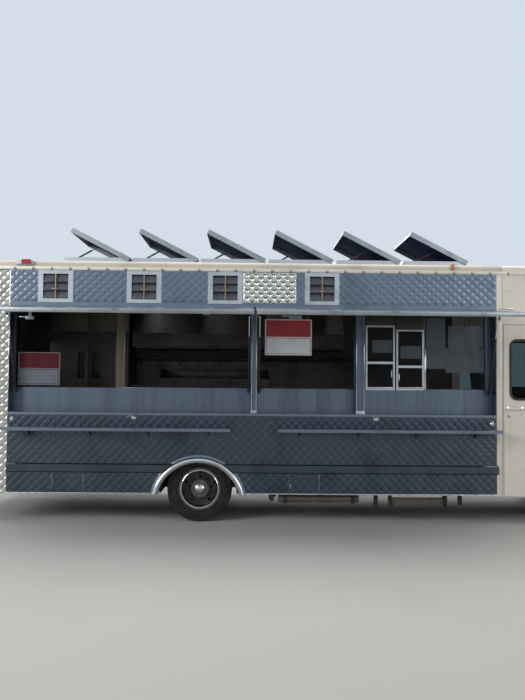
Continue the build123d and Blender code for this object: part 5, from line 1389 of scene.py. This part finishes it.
shelf = [block((-1110, 2590), (860, 1090), (2080, 2096), 3)]
shelf += [block((x, x + 6), (980, 1090), (1990, 2082), 1) for x in range(-1060, 2600, 600)]
settle(shelf, "back_shelf", shaded_kitchen_steel)
knob = rod(spot(-620, 430, 1620), spot(-620, 398, 1620), 24, sides=18, tip=18)
settle(row(knob, (150, 0, 0), 10), "griddle_knobs", strut_black)
seams = [block((x, x + 4), (1126, 1131), (810, 3120), 0) for x in range(-2640, 3700, 610)]
settle(seams, "wall_lining_seams", shaded_kitchen_steel, smooth=0)
counter = block((-2300, 3500), (-566, -556), (1618, 1646), 4)
settle(counter, "counter_edge", shaded_kitchen_steel)

# %% [markdown]
# ## Floor, light and air
#
# A pale floor without an edge in view, one big soft box overhead, a wide key from the left
# where the low sun stood, a weak fill from the right and a wide one from behind. The world is a
# plain pale grey-blue: the camera, and what mirrors or lets light through, see it bright, while
# it lights the truck at a calmer level.


# %% Studio
def soft_box(name, place, aim, size, watts):
    """Rectangular area light at a place, facing a point."""
    lamp = bpy.data.lights.new(name, "AREA")
    lamp.shape = "RECTANGLE"
    lamp.size, lamp.size_y = size
    lamp.energy = watts
    made = bpy.data.objects.new(name, lamp)
    bpy.context.scene.collection.objects.link(made)
    made.location = place
    made.rotation_euler = (Vector(aim) - Vector(place)).to_track_quat("-Z", "Y").to_euler()


start()
bpy.ops.mesh.primitive_plane_add(size=160, location=(0, 0, 0))
floor_sheet = bpy.context.object
floor_sheet.name = "studio_floor"
pale_floor = surface("pale_floor", "#B9B7B2", "#B1AFAA", 0.0, 0.8, 4000, 0.5, 60, 0.1)
floor_sheet.data.materials.append(pale_floor)
soft_box("overhead_box", (0, middle, 10), (0, middle, 0), (14, 9), 900)
soft_box("left_key", (-13, -9, 6), (-1, 0, 1.5), (7, 5), 1100)
soft_box("right_fill", (11, -11, 5), (2, 0, 1.5), (6, 5), 350)
soft_box("back_fill", (3, 15, 7), (0, middle, 1.5), (12, 6), 900)

world = bpy.data.worlds.new("studio_air")
bpy.context.scene.world = world
air = empty_tree(world)
rays = add_node(air, "ShaderNodeLightPath").outputs
seen = rays["Is Camera Ray"]
for ray in ("Is Glossy Ray", "Is Transmission Ray"):
    seen = add_node(air, "ShaderNodeMath", {0: seen, 1: rays[ray]}, operation="MAXIMUM").outputs[0]
lit = add_node(air, "ShaderNodeBackground", {"Color": linear("#E3E9F0"), "Strength": 0.45})
shown = add_node(air, "ShaderNodeBackground", {"Color": linear("#D3DEE9"), "Strength": 1.0})
mixed = add_node(air, "ShaderNodeMixShader", {0: seen, 1: lit.outputs[0], 2: shown.outputs[0]})
add_node(air, "ShaderNodeOutputWorld", {"Surface": mixed.outputs[0]})
bpy.context.scene.view_settings.view_transform = "Standard"
print("lamps:", [lamp.name for lamp in bpy.data.lights])
